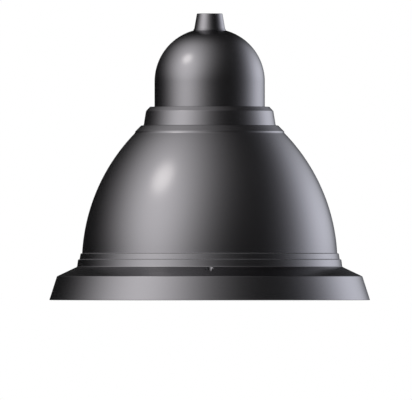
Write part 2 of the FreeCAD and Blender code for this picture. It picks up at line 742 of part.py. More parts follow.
def collar_ring():
    """Cast ring that clamps the dome's foot to the bell."""
    bore = dome_radius + FIT_GAP
    recess = dome_foot_radius + FIT_GAP
    collar = turned(
        [
            (collar_foot_radius, z_deck),
            (collar_edge_radius, z_collar_chamfer, EDGE_FILLET),
            (collar_top_radius, z_collar_top, EDGE_FILLET),
            (bore, z_collar_top),
            (bore, z_dome_flange),
            (bore + COLLAR_WALL, z_dome_flange),
            (bore + COLLAR_WALL, z_collar_chamfer),
            (recess, z_collar_chamfer),
            (recess, z_deck),
        ]
    )
    z_tip = z_deck + COLLAR_SCREW_BITE + TIP_GAP
    spots = circle_spots(collar_screw_circle, collar_screw_angles)
    return drilled(collar, M4_PAN.shank + THREAD_GAP, z_deck, z_tip, spots)


def collar_screws():
    """Screws up through the deck into the collar."""
    length = DECK_THICKNESS + COLLAR_SCREW_BITE
    return screw_set(M4_PAN, length, collar_screw_circle, collar_screw_angles, z_deck_under, pointing_up=True)


def dome_gasket():
    """Flat gasket between the dome's foot and the deck."""
    return ring(dome_radius - DOME_WALL, dome_foot_radius, z_deck, z_dome_foot)


def dome_cover():
    """Cast dome: foot flange, upright wall, round top with a flat seat for the neck."""
    inner = dome_radius - DOME_WALL
    bend = DOME_ARC_OFFSET + dome_arc_radius * math.sqrt(0.5)
    inner_bend = DOME_ARC_OFFSET + (dome_arc_radius - DOME_WALL) * math.sqrt(0.5)
    hole = SHANK_RADIUS + FIT_GAP
    return turned(
        [
            (dome_foot_radius, z_dome_foot),
            (dome_foot_radius, z_dome_flange),
            (dome_radius, z_dome_flange),
            (dome_radius, z_dome_arc),
            Bend(bend, dome_height(bend)),
            (neck_seat_radius, z_neck_seat),
            (hole, z_neck_seat),
            (hole, z_crown_boss),
            (crown_boss_radius, z_crown_boss),
            (crown_boss_radius, z_crown_boss + CROWN_BOSS_PROUD),
            Bend(inner_bend, dome_height(inner_bend, DOME_WALL)),
            (inner, z_dome_arc),
            (inner, z_dome_foot),
        ]
    )


# Neck and cable entry


def suspension_neck():
    """Turned neck: pipe thread inside, cone outside, and a shank through the dome."""
    z_seal = z_neck_seat + NECK_SEAL_DEPTH
    neck = turned(
        [
            (THREAD_RADIUS + THREAD_LEAD_IN, z_neck_top),
            (NECK_TOP_RADIUS, z_neck_top, EDGE_FILLET),
            (neck_cone_radius, z_neck_seat + NECK_BEAD_HEIGHT),
            (neck_foot_radius, z_neck_seat + NECK_BEAD_HEIGHT),
            (neck_foot_radius, z_neck_seat),
            (neck_seal_outer, z_neck_seat),
            (neck_seal_outer, z_seal),
            (neck_seal_inner, z_seal),
            (neck_seal_inner, z_neck_seat),
            (SHANK_RADIUS, z_neck_seat),
            (SHANK_RADIUS, z_shank_end),
            (GLAND_RADIUS, z_shank_end),
            (GLAND_RADIUS, z_thread_end),
            (THREAD_RADIUS, z_thread_end),
            (THREAD_RADIUS, z_neck_top - THREAD_LEAD_IN),
        ]
    )
    grub_hole = Part.makeCylinder(GRUB_SCREW_RADIUS, neck_foot_radius, grub_start(0), Vector(0, 1, 0))
    return neck.cut(grub_hole)


def grub_start(radius):
    """A point on the grub screw's line, behind the lamp's axis."""
    return Vector(0, radius, z_neck_top - GRUB_SCREW_DROP)


def neck_grub_screw():
    """Grub screw at the back that locks the pipe."""
    start = THREAD_RADIUS + FIT_GAP
    radius = GRUB_SCREW_RADIUS - THREAD_GAP
    body = Part.makeCylinder(radius, GRUB_SCREW_LENGTH, grub_start(start), Vector(0, 1, 0))
    depth = GRUB_SCREW_LENGTH / 2
    socket = hexagon(GRUB_SCREW_RADIUS, 0, depth).rotated(Vector(), X_AXIS, -90)
    return body.cut(socket.translated(grub_start(start + GRUB_SCREW_LENGTH - depth)))


def neck_seal():
    """Rubber ring in the groove under the neck's foot."""
    z_seal = z_neck_seat + NECK_SEAL_DEPTH
    return ring(neck_seal_inner + FIT_GAP, neck_seal_outer - FIT_GAP, z_neck_seat, z_seal)


def neck_washer():
    """Washer between the dome and the locknut."""
    return ring(SHANK_RADIUS + FIT_GAP, WASHER_RADIUS, z_washer, z_crown_boss)


def neck_locknut():
    """Hexagonal locknut on the shank, inside the dome."""
    nut = hexagon(LOCKNUT_FLATS, z_locknut, z_washer)
    return nut.cut(rod(SHANK_RADIUS + THREAD_GAP, z_locknut, z_washer))


def cable_gland():
    """Gland body: thread up into the neck, hexagon, and a stem for the cap."""
    thread = rod(GLAND_RADIUS - THREAD_GAP, z_shank_end, z_shank_end + GLAND_THREAD_LENGTH)
    stem = rod(GLAND_STEM_RADIUS, z_gland_stem, z_gland_hex)
    body = hexagon(GLAND_FLATS, z_gland_hex, z_shank_end).fuse([thread, stem])
    return body.cut(rod(GLAND_BORE, z_gland_stem, z_shank_end + GLAND_THREAD_LENGTH))


def gland_seal():
    """Rubber insert that grips the cable, between the stem and the cap."""
    return ring(GLAND_SEAL_BORE, GLAND_STEM_RADIUS, z_gland_cap + GLAND_CAP_WALL, z_gland_stem)


def gland_cap():
    """Cap nut that squeezes the seal."""
    bore = GLAND_STEM_RADIUS + THREAD_GAP
    z_floor = z_gland_cap + GLAND_CAP_WALL
    return turned(
        [
            (bore, z_gland_hex),
            (bore + GLAND_CAP_WALL, z_gland_hex),
            (bore + GLAND_CAP_WALL, z_floor),
            (bore, z_gland_cap),
            (GLAND_BORE, z_gland_cap),
            (GLAND_BORE, z_floor),
            (bore, z_floor),
        ]
    )


# LED engine


def sink_screw_bite():
    """How deep the heat sink's screws go into the bell's bosses: twice their diameter."""
    return 4 * M5_CAP.shank


def heat_sink():
    """Cast plate with radial fins, which passes the LEDs' heat to the bell."""
    plate = rod(sink_radius, z_sink_under, z_sink_top)
    length = sink_radius - FIN_MARGIN - fin_inner_radius
    corner = Vector(fin_inner_radius, -FIN_THICKNESS / 2, z_sink_top)
    fin = Part.makeBox(length, FIN_THICKNESS, FIN_HEIGHT, corner)
    fins = [fin.rotated(Vector(), AXIS, angle) for angle in angles_round(FIN_COUNT, 180.0 / FIN_COUNT)]
    sink = plate.fuse(fins).removeSplitter()
    sink_spots = circle_spots(sink_screw_circle, sink_screw_angles)
    sink = drilled(sink, M5_CAP.shank + HOLE_GAP, z_sink_under, z_sink_top, sink_spots)
    sink = drilled(sink, sink_hole_radius, z_sink_under, z_sink_top, [output_lead_spot])
    lens_spots = circle_spots(lens_screw_circle, lens_screw_angles)
    tapped = lens_spots + board_screw_spots + circle_spots(reflector_screw_circle, reflector_screw_angles)
    z_tip = z_sink_under + tapped_depth() + TIP_GAP
    return drilled(sink, M3_LOW.shank + THREAD_GAP, z_sink_under, z_tip, tapped)


def tapped_depth():
    """How deep the small screws go into the heat sink's plate."""
    return SINK_THICKNESS - 2 * TIP_GAP


def sink_screws():
    """Screws up through the heat sink into the bell's bosses."""
    length = SINK_THICKNESS + sink_screw_bite()
    return screw_set(M5_CAP, length, sink_screw_circle, sink_screw_angles, z_sink_under, pointing_up=True)


def led_board():
    """Round metal-core board under the heat sink."""
    board = rod(board_radius, z_board_under, z_sink_under)
    return drilled(board, M3_LOW.shank + HOLE_GAP, z_board_under, z_sink_under, board_screw_spots)


def board_screws():
    """Low-headed screws that clamp the board to the heat sink."""
    length = BOARD_THICKNESS + tapped_depth()
    spots = [spot + Vector(0, 0, z_board_under) for spot in board_screw_spots]
    return Part.makeCompound([screw(M3_LOW, length, spot, pointing_up=True) for spot in spots])


def leds():
    """LED packages in rings on the board."""
    side = (LED_SIDE, LED_SIDE, LED_HEIGHT)
    return Part.makeCompound([block(side, spot.x, spot.y, z_board_under - LED_HEIGHT) for spot in led_spots])


def lens_panel():
    """Clear moulded panel: a domed lens under each LED, and a pocket over each LED and board screw."""
    plate = rod(lens_plate_radius, z_lens_under, z_lens_top)
    ball_radius = (LENS_RADIUS**2 + LENS_RISE**2) / (2 * LENS_RISE)
    ball = Part.makeSphere(ball_radius, Vector(0, 0, z_lens_under - LENS_RISE + ball_radius))
    dome = ball.common(rod(LENS_RADIUS, z_lens_under - LENS_RISE, z_lens_under))
    panel = plate.fuse([dome.translated(spot) for spot in led_spots])
    pockets = led_spots + board_screw_spots
    panel = drilled(panel, LENS_POCKET_RADIUS, z_lens_top - LENS_POCKET_DEPTH, z_lens_top, pockets)
    spots = circle_spots(lens_screw_circle, lens_screw_angles)
    return drilled(panel, M3_LOW.shank + HOLE_GAP, z_lens_under, z_lens_top, spots)


def lens_seal():
    """Flat seal between the lens panel and the heat sink, round the board."""
    return ring(lens_seal_inner, lens_seal_inner + LENS_SEAL_WIDTH, z_lens_top, z_sink_under)


def lens_screws():
    """Screws that hold the lens panel to the heat sink."""
    length = z_sink_under - z_lens_under + tapped_depth()
    return screw_set(M3_LOW, length, lens_screw_circle, lens_screw_angles, z_lens_under, pointing_up=True)


def reflector_ring():
    """Spun white skirt from the heat sink down to the edge of the glass."""
    z_mouth = z_glass_top + REFLECTOR_LIFT
    z_flange = z_sink_under - REFLECTOR_WALL
    skirt = turned(
        [
            (reflector_inner, z_sink_under),
            (reflector_inner, z_flange),
            (reflector_shoulder, z_flange),
            (reflector_mouth, z_mouth),
            (reflector_mouth + REFLECTOR_WALL, z_mouth),
            (reflector_shoulder + REFLECTOR_WALL, z_sink_under),
        ]
    )
    spots = circle_spots(reflector_screw_circle, reflector_screw_angles)
    return drilled(skirt, M3_LOW.shank + HOLE_GAP, z_flange, z_sink_under, spots)


def reflector_screws():
    """Screws that hold the reflector's flange."""
    z = z_sink_under - REFLECTOR_WALL
    length = REFLECTOR_WALL + tapped_depth()
    return screw_set(M3_LOW, length, reflector_screw_circle, reflector_screw_angles, z, pointing_up=True)


# Gear tray, driver and wiring


def tray_standoffs():
    """Hexagonal stand-offs screwed up into the bell's deck."""
    pillars = []
    for spot in circle_spots(standoff_circle, STANDOFF_ANGLES):
        stud = rod(STUD_RADIUS, z_deck_under, z_deck_under + STUD_LENGTH, spot)
        pillar = hexagon(STANDOFF_FLATS, z_tray_top, z_deck_under, spot).fuse(stud)
        z_tip = z_tray_top + tray_screw_bite() + TIP_GAP
        pillars.append(drilled(pillar, M4_PAN.shank + THREAD_GAP, z_tray_top, z_tip, [spot]))
    return Part.makeCompound(pillars)


def tray_screw_bite():
    """How deep the tray's screws go into the stand-offs: twice their diameter."""
    return 4 * M4_PAN.shank


def gear_tray():
    """Round sheet that carries the electrical gear."""
    tray = rod(TRAY_RADIUS, z_tray, z_tray_top)
    tray = drilled(tray, CABLE_HOLE_RADIUS, z_tray, z_tray_top, [Vector()])
    screw_spots = circle_spots(standoff_circle, STANDOFF_ANGLES) + gear_screw_spots
    return drilled(tray, M4_PAN.shank + HOLE_GAP, z_tray, z_tray_top, screw_spots)


def tray_screws():
    """Screws up through the tray into the stand-offs."""
    length = TRAY_THICKNESS + tray_screw_bite()
    return screw_set(M4_PAN, length, standoff_circle, STANDOFF_ANGLES, z_tray, pointing_up=True)


def led_driver():
    """Potted driver in an aluminium case, with fixing ears at its ends."""
    length, width, height = DRIVER_SIZE
    case = block(DRIVER_SIZE, 0, -DRIVER_OFFSET, z_tray - height)
    low_edges = [edge for edge in case.Edges if edge.BoundBox.ZMax < z_tray - height / 2]
    case = case.makeFillet(DRIVER_FILLET, low_edges)
    ear_size = (length + 2 * DRIVER_EAR, width, DRIVER_EAR_THICKNESS)
    z_ears = z_tray - DRIVER_EAR_THICKNESS
    body = case.fuse(block(ear_size, 0, -DRIVER_OFFSET, z_ears)).removeSplitter()
    return drilled(body, M4_PAN.shank + HOLE_GAP, z_ears, z_tray, driver_screw_spots)


def gear_screws():
    """Screws through the ears and lugs of the gear and the tray above them."""
    length = max(DRIVER_EAR_THICKNESS, LUG_THICKNESS) + TRAY_THICKNESS + 2 * TIP_GAP
    under_ears = Vector(0, 0, z_tray - DRIVER_EAR_THICKNESS)
    under_lugs = Vector(0, 0, z_tray - LUG_THICKNESS)
    seats = [spot + under_ears for spot in driver_screw_spots]
    seats += [spot + under_lugs for spot in terminal_screw_spots + surge_screw_spots]
    return Part.makeCompound([screw(M4_PAN, length, seat, pointing_up=True) for seat in seats])


def with_lugs(body, size, centre):
    """The body with a fixing lug at each end, against the tray."""
    lug_width = min(size[1], 4 * M4_PAN.head)
    z_lugs = z_tray - LUG_THICKNESS
    lugs = block((size[0] + 2 * LUG_LENGTH, lug_width, LUG_THICKNESS), *centre, z_lugs)
    body = body.fuse(lugs).removeSplitter()
    return drilled(body, M4_PAN.shank + HOLE_GAP, z_lugs, z_tray, lug_spots(size, centre))


def terminal_block():
    """Moulded terminal block with a screw well for each pole."""
    length, _, height = TERMINAL_SIZE
    body = block(TERMINAL_SIZE, *TERMINAL_PLACE, z_tray - height)
    pitch = length / TERMINAL_POLE_COUNT
    first = TERMINAL_PLACE[0] - length / 2 + pitch / 2
    wells = [Vector(first + pitch * pole, TERMINAL_PLACE[1], 0) for pole in range(TERMINAL_POLE_COUNT)]
    body = drilled(body, TERMINAL_WELL_RADIUS, z_tray - height, z_tray - height + TERMINAL_WELL_DEPTH, wells)
    return with_lugs(body, TERMINAL_SIZE, TERMINAL_PLACE)


def surge_protector():
    """Sealed surge protector."""
    height = SURGE_SIZE[2]
    body = block(SURGE_SIZE, *SURGE_PLACE, z_tray - height)
    low_edges = [edge for edge in body.Edges if edge.BoundBox.ZMax < z_tray - height / 2]
    return with_lugs(body.makeFillet(SURGE_FILLET, low_edges), SURGE_SIZE, SURGE_PLACE)


def input_lead():
    """Lead from the terminal block round to the driver's input end."""
    end = -DRIVER_SIZE[0] / 2
    turn = end - INPUT_LEAD_REACH
    block_end = TERMINAL_PLACE[0] - TERMINAL_SIZE[0] / 2
    points = [
        Vector(end, -DRIVER_OFFSET, z_lead),
        Vector(turn, -DRIVER_OFFSET, z_lead),
        Vector(turn, TERMINAL_PLACE[1], z_terminal_lead),
        Vector(block_end, TERMINAL_PLACE[1], z_terminal_lead),
    ]
    return lead(points, LEAD_BEND)


def output_lead():
    """Lead from the driver's output end down through the heat sink to the LED board."""
    end = DRIVER_SIZE[0] / 2
    turn = end + OUTPUT_LEAD_REACH
    z_over_fins = z_sink_top + FIN_HEIGHT + OUTPUT_LEAD_LIFT
    points = [
        Vector(end, -DRIVER_OFFSET, z_lead),
        Vector(turn, -DRIVER_OFFSET, z_lead),
        Vector(turn, -DRIVER_OFFSET, z_over_fins),
        Vector(OUTPUT_LEAD_X, -DRIVER_OFFSET, z_over_fins),
        Vector(OUTPUT_LEAD_X, -DRIVER_OFFSET, z_sink_under),
    ]
    return lead(points, LEAD_BEND)


def lead_grommet():
    """Rubber grommet round the output lead, in the heat sink."""
    hole = sink_hole_radius
    collar = ring(LEAD_RADIUS + FIT_GAP, hole + GROMMET_LIP, z_sink_top, z_sink_top + GROMMET_LIP_THICKNESS)
    neck = ring(LEAD_RADIUS + FIT_GAP, hole - FIT_GAP, z_sink_under, z_sink_top)
    return collar.fuse(neck).removeSplitter().translated(output_lead_spot)


PIECES = (
    rim_frame,
    frame_seal,
    frame_screws,
    frame_screw_washers,
    glass_pane,
    glass_gasket,
    glass_clips,
    clip_screws,
    bell_housing,
    deck_grommet,
    collar_ring,
    collar_screws,
    dome_gasket,
    dome_cover,
    suspension_neck,
    neck_grub_screw,
    neck_seal,
    neck_washer,
    neck_locknut,
    cable_gland,
    gland_seal,
    gland_cap,
    heat_sink,
    sink_screws,
    led_board,
    board_screws,
    leds,
    lens_panel,
    lens_seal,
    lens_screws,
    reflector_ring,
    reflector_screws,
    tray_standoffs,
    gear_tray,
    tray_screws,
    led_driver,
    gear_screws,
    terminal_block,
    surge_protector,
    input_lead,
    output_lead,
    lead_grommet,
)


def main():
    os.makedirs("parts", exist_ok=True)
    for piece in PIECES:
        shape = piece()
        name = piece.__name__
        shape.exportStep(os.path.join("parts", name + ".step"))
        print(f"{name}: {len(shape.Solids)} solids, {shape.Volume / 1000:.1f} cm3, valid {shape.isValid()}")


main()
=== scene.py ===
# %% [markdown]
# # A bell-shaped garden lamp
#
# The lamp is a stack of turned castings: a flared rim, a bell with two beads, a collar, a dome and a
# threaded neck. The construction model, called the frame here, gives every piece its size and its place.
# This lesson models what shows as clean meshes, gives every piece a finish, and builds the studio round it.
# The drawings are in millimetres and the scene is in metres.

# %% Load the frame
import json
import math

import bmesh
import bpy
from mathutils import Matrix, Vector


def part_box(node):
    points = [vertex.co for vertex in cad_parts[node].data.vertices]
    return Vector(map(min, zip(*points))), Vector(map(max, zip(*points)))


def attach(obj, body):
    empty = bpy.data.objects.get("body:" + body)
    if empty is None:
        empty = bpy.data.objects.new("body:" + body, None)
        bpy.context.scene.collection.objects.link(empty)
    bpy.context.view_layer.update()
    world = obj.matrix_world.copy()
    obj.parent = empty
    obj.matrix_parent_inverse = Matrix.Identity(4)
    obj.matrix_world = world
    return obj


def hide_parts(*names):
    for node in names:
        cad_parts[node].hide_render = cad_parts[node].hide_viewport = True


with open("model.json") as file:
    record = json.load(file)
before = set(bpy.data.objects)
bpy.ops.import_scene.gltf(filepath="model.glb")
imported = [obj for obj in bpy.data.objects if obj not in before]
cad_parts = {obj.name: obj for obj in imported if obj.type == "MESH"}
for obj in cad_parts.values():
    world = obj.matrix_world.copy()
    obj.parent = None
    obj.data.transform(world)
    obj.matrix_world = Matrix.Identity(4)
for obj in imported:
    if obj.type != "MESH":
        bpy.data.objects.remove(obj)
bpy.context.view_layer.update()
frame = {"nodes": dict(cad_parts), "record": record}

MM = 0.001
scene = bpy.context.scene
slot_of = {part["node"]: part["material_slot"] for part in frame["record"]["subparts"]}

# %% [markdown]
# ## The camera
#
# The lamp is seen straight from the side, and its lines run level from edge to edge, so the camera is far
# off with a long lens. One pixel of the photograph covers the same length all over the lamp. The axis's
# column and the bottom edge's row then give the picture's middle. The front of the rim is nearer than its
# sides, so the eye is level with the rim's top and the camera is tipped up by a quarter of a degree: then
# the edges of the rim and the beads run straight across, as they do in the photograph.

# %% Camera
PHOTO_WIDTH = 412
PHOTO_HEIGHT = 400
AXIS_COLUMN = 209.17
RIM_ROW = 299.6
PIXEL = 1.621 * MM
CAMERA_DISTANCE = 30.0
EYE_HEIGHT = 35 * MM

camera_data = bpy.data.cameras.new("camera")
camera_data.lens = camera_data.sensor_width * CAMERA_DISTANCE / (PHOTO_WIDTH * PIXEL)
camera_data.clip_end = 2 * CAMERA_DISTANCE
camera = bpy.data.objects.new("camera", camera_data)
camera_x = ((PHOTO_WIDTH - 1) / 2 - AXIS_COLUMN) * PIXEL
middle_z = (RIM_ROW - (PHOTO_HEIGHT - 1) / 2) * PIXEL
camera.location = (camera_x, -CAMERA_DISTANCE, EYE_HEIGHT)
sight = Vector((camera_x, 0, middle_z)) - camera.location
camera.rotation_euler = sight.to_track_quat("-Z", "Y").to_euler()
scene.collection.objects.link(camera)
scene.camera = camera
scene.view_settings.view_transform = "Standard"
print("lens", round(camera_data.lens), "mm, looking at", round(middle_z / MM, 1), "mm up the axis")

# %% [markdown]
# ## Nodes as sums
#
# A finish is a web of shader nodes, and most of those nodes are sums. Written out node by node, a sum fills
# a page, so a small class lets a socket be added, subtracted, multiplied and divided like a number. Every
# other node comes from one method, which takes the node's kind, its settings and what goes into its sockets.


# %% A socket that works in sums
class Signal:
    """A node's output, which sums treat like a number."""

    def __init__(self, finish, socket):
        self.finish = finish
        self.socket = socket

    def maths(self, operation, first, second=0.0):
        return self.finish.node("Math", {"operation": operation}, {0: first, 1: second})

    def __add__(self, other):
        return self.maths("ADD", self, other)

    def __sub__(self, other):
        return self.maths("SUBTRACT", self, other)

    def __rsub__(self, other):
        return self.maths("SUBTRACT", other, self)

    def __mul__(self, other):
        return self.maths("MULTIPLY", self, other)

    def __truediv__(self, other):
        return self.maths("DIVIDE", self, other)

    __radd__ = __add__
    __rmul__ = __mul__


class Finish:
    """The nodes of a material or of the world."""

    def __init__(self, owner):
        owner.use_nodes = True
        self.tree = owner.node_tree
        self.tree.nodes.clear()

    def node(self, kind, settings, sockets, output=0):
        made = self.tree.nodes.new("ShaderNode" + kind)
        for name, value in settings.items():
            setattr(made, name, value)
        for name, value in sockets.items():
            if isinstance(value, Signal):
                self.tree.links.new(value.socket, made.inputs[name])
            else:
                made.inputs[name].default_value = value
        return Signal(self, made.outputs[output] if made.outputs else None)


print("signals work in sums")

# %% [markdown]
# ## The studio
#
# The lamp stands in front of plain white. Dark satin paint shows little colour of its own: it shows what
# stands round it. So the lamp is closed in by a black tent, as a photographer flags off a white room, with
# two broad soft panels on it. They draw the grey band on the left and the cool one on the right, and a
# round main lamp adds the soft spots. The tent is seen only in reflections.

# %% World: white to the eye, softer for the light it gives
WORLD_LIGHT = 0.75

world = bpy.data.worlds.new("studio")
scene.world = world
sky = Finish(world)
seen = sky.node("LightPath", {}, {}, "Is Camera Ray")
for ray in ("Is Glossy Ray", "Is Transmission Ray"):
    seen = seen.maths("MAXIMUM", seen, sky.node("LightPath", {}, {}, ray))
strength = WORLD_LIGHT + (1 - WORLD_LIGHT) * seen
white = sky.node("Background", {}, {"Color": (1, 1, 1, 1), "Strength": strength})
sky.node("OutputWorld", {}, {"Surface": white})
print("world light", WORLD_LIGHT)

# %% Main lamp
STUDIO_CENTRE = Vector((0, 0, 0.25))
LAMP_DISTANCE = 3.0
LAMP_TURN = math.radians(-63)
LAMP_LIFT = math.radians(44.7)
LAMP_WIDTH = 0.95
LAMP_LEVEL = 1.96
LAMP_COLOUR = (1.0, 0.97, 0.915)

light = bpy.data.lights.new("main_lamp", "AREA")
light.shape = "DISK"
light.size = LAMP_WIDTH
light.energy = math.pi * (math.pi * LAMP_WIDTH**2 / 4) * LAMP_LEVEL
light.color = LAMP_COLOUR
main_lamp = bpy.data.objects.new("main_lamp", light)
across = math.cos(LAMP_LIFT)
lamp_side = Vector((math.sin(LAMP_TURN) * across, -math.cos(LAMP_TURN) * across, math.sin(LAMP_LIFT)))
main_lamp.location = STUDIO_CENTRE + lamp_side * LAMP_DISTANCE
main_lamp.rotation_euler = lamp_side.to_track_quat("Z", "Y").to_euler()
main_lamp.visible_camera = False
scene.collection.objects.link(main_lamp)
print("main lamp at", [round(c, 2) for c in main_lamp.location], "m,", round(light.energy, 1), "W")

# %% [markdown]
# A wall shows the patch of the tent at which its mirror image of the camera points. So the panels are laid
# out by the way a wall faces when it shows them: turned to the right of the camera, and lifted, both in
# degrees. The way a wall faces is halfway between the camera and the patch. Every panel fades evenly from
# its middle, so that the bands on the paint have no edges. A faint fill between the panels keeps the
# darkest strip from going black, and a dim panel below gives the underside something to show.


# %% Tent with soft panels
def mesh_object(name, mesh):
    """An object in the scene that holds a drawn mesh, as it is."""
    data = bpy.data.meshes.new(name)
    mesh.to_mesh(data)
    mesh.free()
    made = bpy.data.objects.new(name, data)
    scene.collection.objects.link(made)
    return made


def fade(angle, middle, spread):
    """1 where an angle is at its middle, fading evenly to 0 on both sides."""
    away = (angle - middle) / spread
    return away.maths("EXPONENT", away * away * -0.5)


def ramp(value, low, high):
    """0 where a value is at the low end and 1 at the high end, easing in and out."""
    ends = {"From Min": low, "From Max": high, "Value": value}
    return value.finish.node("MapRange", {"interpolation_type": "SMOOTHSTEP"}, ends)


TENT_RADIUS = 6.0
TENT_DARK = 0.012
LEFT_LEVEL = 2.18
LEFT_TINT = (1.0, 0.985, 0.995)
RIGHT_LEVEL = 2.33
RIGHT_TINT = (0.95, 0.97, 1.06)
FILL_LEVEL = 0.024
BELOW_LEVEL = 0.6
DEGREE = math.radians(1)

panels = bpy.data.materials.new("tent_panels")
panels.cycles.emission_sampling = "NONE"
cloth = Finish(panels)
place = cloth.node("TexCoord", {}, {}, "Object")
patch = cloth.node("VectorMath", {"operation": "NORMALIZE"}, {0: place}, "Vector")
between = cloth.node("VectorMath", {"operation": "ADD"}, {0: patch, 1: (0, -1, 0)}, "Vector")
facing = cloth.node("VectorMath", {"operation": "NORMALIZE"}, {0: between}, "Vector")
right = cloth.node("SeparateXYZ", {}, {0: facing}, "X")
back = cloth.node("SeparateXYZ", {}, {0: facing}, "Y")
up = cloth.node("SeparateXYZ", {}, {0: facing}, "Z")
turned = right.maths("ARCTAN2", right, 0 - back) / DEGREE
lifted = up.maths("ARCSINE", up) / DEGREE
left_spread = 12.6 + 0.13 * lifted.maths("MAXIMUM", lifted, 0.0)
left_across = fade(turned, -26, left_spread)
left_upward = fade(lifted, 17, 24) * ramp(lifted, 66, 40)
left_panel = LEFT_LEVEL * left_across * left_upward
right_across = fade(turned, 63, 12.1) * ramp(turned, 87, 71)
right_upward = fade(lifted, 10, 22) * ramp(lifted, 64, 38)
right_panel = RIGHT_LEVEL * right_across * right_upward
height = cloth.node("SeparateXYZ", {}, {0: patch}, "Z")
fill = FILL_LEVEL * fade(turned, 27, 20)
plain = BELOW_LEVEL * ramp(height, -0.5, -0.85) + fill + TENT_DARK
channels = {}
for index in range(3):
    channels[index] = plain + left_panel * LEFT_TINT[index] + right_panel * RIGHT_TINT[index]
colour = cloth.node("CombineColor", {}, channels)
glowing = cloth.node("Emission", {}, {"Color": colour, "Strength": 1.0})
cloth.node("OutputMaterial", {}, {"Surface": glowing})

tent_mesh = bmesh.new()
bmesh.ops.create_uvsphere(tent_mesh, u_segments=96, v_segments=48, radius=TENT_RADIUS)
tent = mesh_object("tent", tent_mesh)
tent.data.materials.append(panels)
tent.location = STUDIO_CENTRE
tent.visible_camera = False
tent.visible_diffuse = False
tent.visible_transmission = False
tent.visible_shadow = False
print("tent of", TENT_RADIUS, "m")

# %% [markdown]
# ## The floor
#
# The floor is a pale disc just under the rim. It glows a little by itself, so that it stays as white as
# the room behind it, and a soft shadow is left close to the lamp. It fades out before its edge, and its
# underside is clear, so that the lamp can be seen from below too.

# %% Floor
FLOOR_RADIUS = 1.3
FLOOR_DROP = 0.5 * MM
FLOOR_GLOW = 0.72
FLOOR_GREY = (0.4, 0.4, 0.4, 1)
FLOOR_FADE = 0.55
FLOOR_CLEAR = 1.235

pale = bpy.data.materials.new("pale_floor")
ground = Finish(pale)
place = ground.node("TexCoord", {}, {}, "Object")
reach = ground.node("VectorMath", {"operation": "LENGTH"}, {0: place}, "Value")
faded = ramp(reach, FLOOR_FADE, FLOOR_CLEAR)
hidden = faded.maths("MAXIMUM", faded, ground.node("NewGeometry", {}, {}, "Backfacing"))
lit = ground.node("BsdfDiffuse", {}, {"Color": FLOOR_GREY})
glow = ground.node("Emission", {}, {"Color": (1, 1, 1, 1), "Strength": FLOOR_GLOW})
shaded = ground.node("AddShader", {}, {0: lit, 1: glow})
clear = ground.node("BsdfTransparent", {}, {})
mixed = ground.node("MixShader", {}, {0: hidden, 1: shaded, 2: clear})
ground.node("OutputMaterial", {}, {"Surface": mixed})

floor_mesh = bmesh.new()
bmesh.ops.create_circle(floor_mesh, cap_ends=True, segments=96, radius=FLOOR_RADIUS)
floor = mesh_object("floor", floor_mesh)
floor.data.materials.append(pale)
floor.location = (0, 0, -FLOOR_DROP)
floor.visible_diffuse = False
floor.visible_glossy = False
floor.visible_transmission = False
floor.visible_shadow = False
print("floor of", FLOOR_RADIUS, "m")

# %% [markdown]
# ## Finishes
#
# The castings have a graphite metallic paint: a dark satin coat with fine flakes, which shows soft bands of
# light and hardly any colour. It is made as a fairly smooth metal of dark grey. The flakes vary its
# brightness a little, the spray leaves faint unevenness in the gloss, and a very fine bump stands for the
# skin of the paint. Seen at a slant the flakes lie edge on and shine less, so the tint of the metal's edge
# is turned down. On narrow ledges the spray lands half dry, and there the sheen is wider and duller: the
# pieces carry that as an attribute, which the paint reads.

# %% Finish helpers
finishes = {}


def new_finish(slot):
    """A material for one of the lamp's slots, and its nodes."""
    made = bpy.data.materials.new(slot)
    finishes[slot] = made
    return Finish(made)


def noise(finish, scale, detail=2.0, stretch=(1.0, 1.0, 1.0)):
    """Soft noise between 0 and 1 on the piece's own coordinates, with a scale per metre."""
    place = finish.node("TexCoord", {}, {}, "Object")
    drawn = finish.node("VectorMath", {"operation": "MULTIPLY"}, {0: place, 1: stretch}, "Vector")
    return finish.node("TexNoise", {}, {"Vector": drawn, "Scale": scale, "Detail": detail})


def blend(share, first, second):
    """A colour between two, by a share. The mix node has its colours in sockets 6 and 7 and output 2."""
    colours = {0: share, 6: (*first, 1), 7: (*second, 1)}
    return share.finish.node("Mix", {"data_type": "RGBA"}, colours, 2)


def bump(height, depth):
    """A normal that follows a height, for a relief of a depth in millimetres."""
    return height.finish.node("Bump", {}, {"Height": height, "Distance": depth * MM})


def surface(finish, **sockets):
    """Ends a finish in the general surface shader. Socket names have underscores for spaces."""
    named = {name.replace("_", " "): value for name, value in sockets.items()}
    shader = finish.node("BsdfPrincipled", {}, named)
    finish.node("OutputMaterial", {}, {"Surface": shader})


print("finish helpers are ready")

# %% Graphite paint
PAINT_DARK = (0.179, 0.176, 0.184)
PAINT_LIGHT = (0.231, 0.227, 0.237)
PAINT_EDGE = (0.75, 0.75, 0.75, 1)
PAINT_ROUGHNESS = 0.24
DRY_ROUGHNESS = 0.2

paint = new_finish("graphite_paint")
dry_spray = paint.node("Attribute", {"attribute_name": "dry_spray"}, {}, "Fac")
flakes = noise(paint, 2600.0, 1.0)
cloud = noise(paint, 14.0, 3.0)
skin = noise(paint, 520.0, 2.0)
surface(
    paint,
    Base_Color=blend(flakes, PAINT_DARK, PAINT_LIGHT),
    Metallic=1.0 - 0.08 * dry_spray,
    Specular_Tint=PAINT_EDGE,
    Roughness=PAINT_ROUGHNESS + DRY_ROUGHNESS * dry_spray + 0.05 * (cloud - 0.5) + 0.06 * (flakes - 0.5),
    Normal=bump(skin, 0.02),
)
print("graphite paint, roughness", PAINT_ROUGHNESS)

# %% [markdown]
# The other metals are bare. Stainless screws have fine lines from turning, the heat sink and the tray have
# a dull cast or rolled skin, and the driver's case is brushed. One function makes them all: noise drawn out
# along one direction gives the lines, and the same noise moves colour, gloss and relief together.


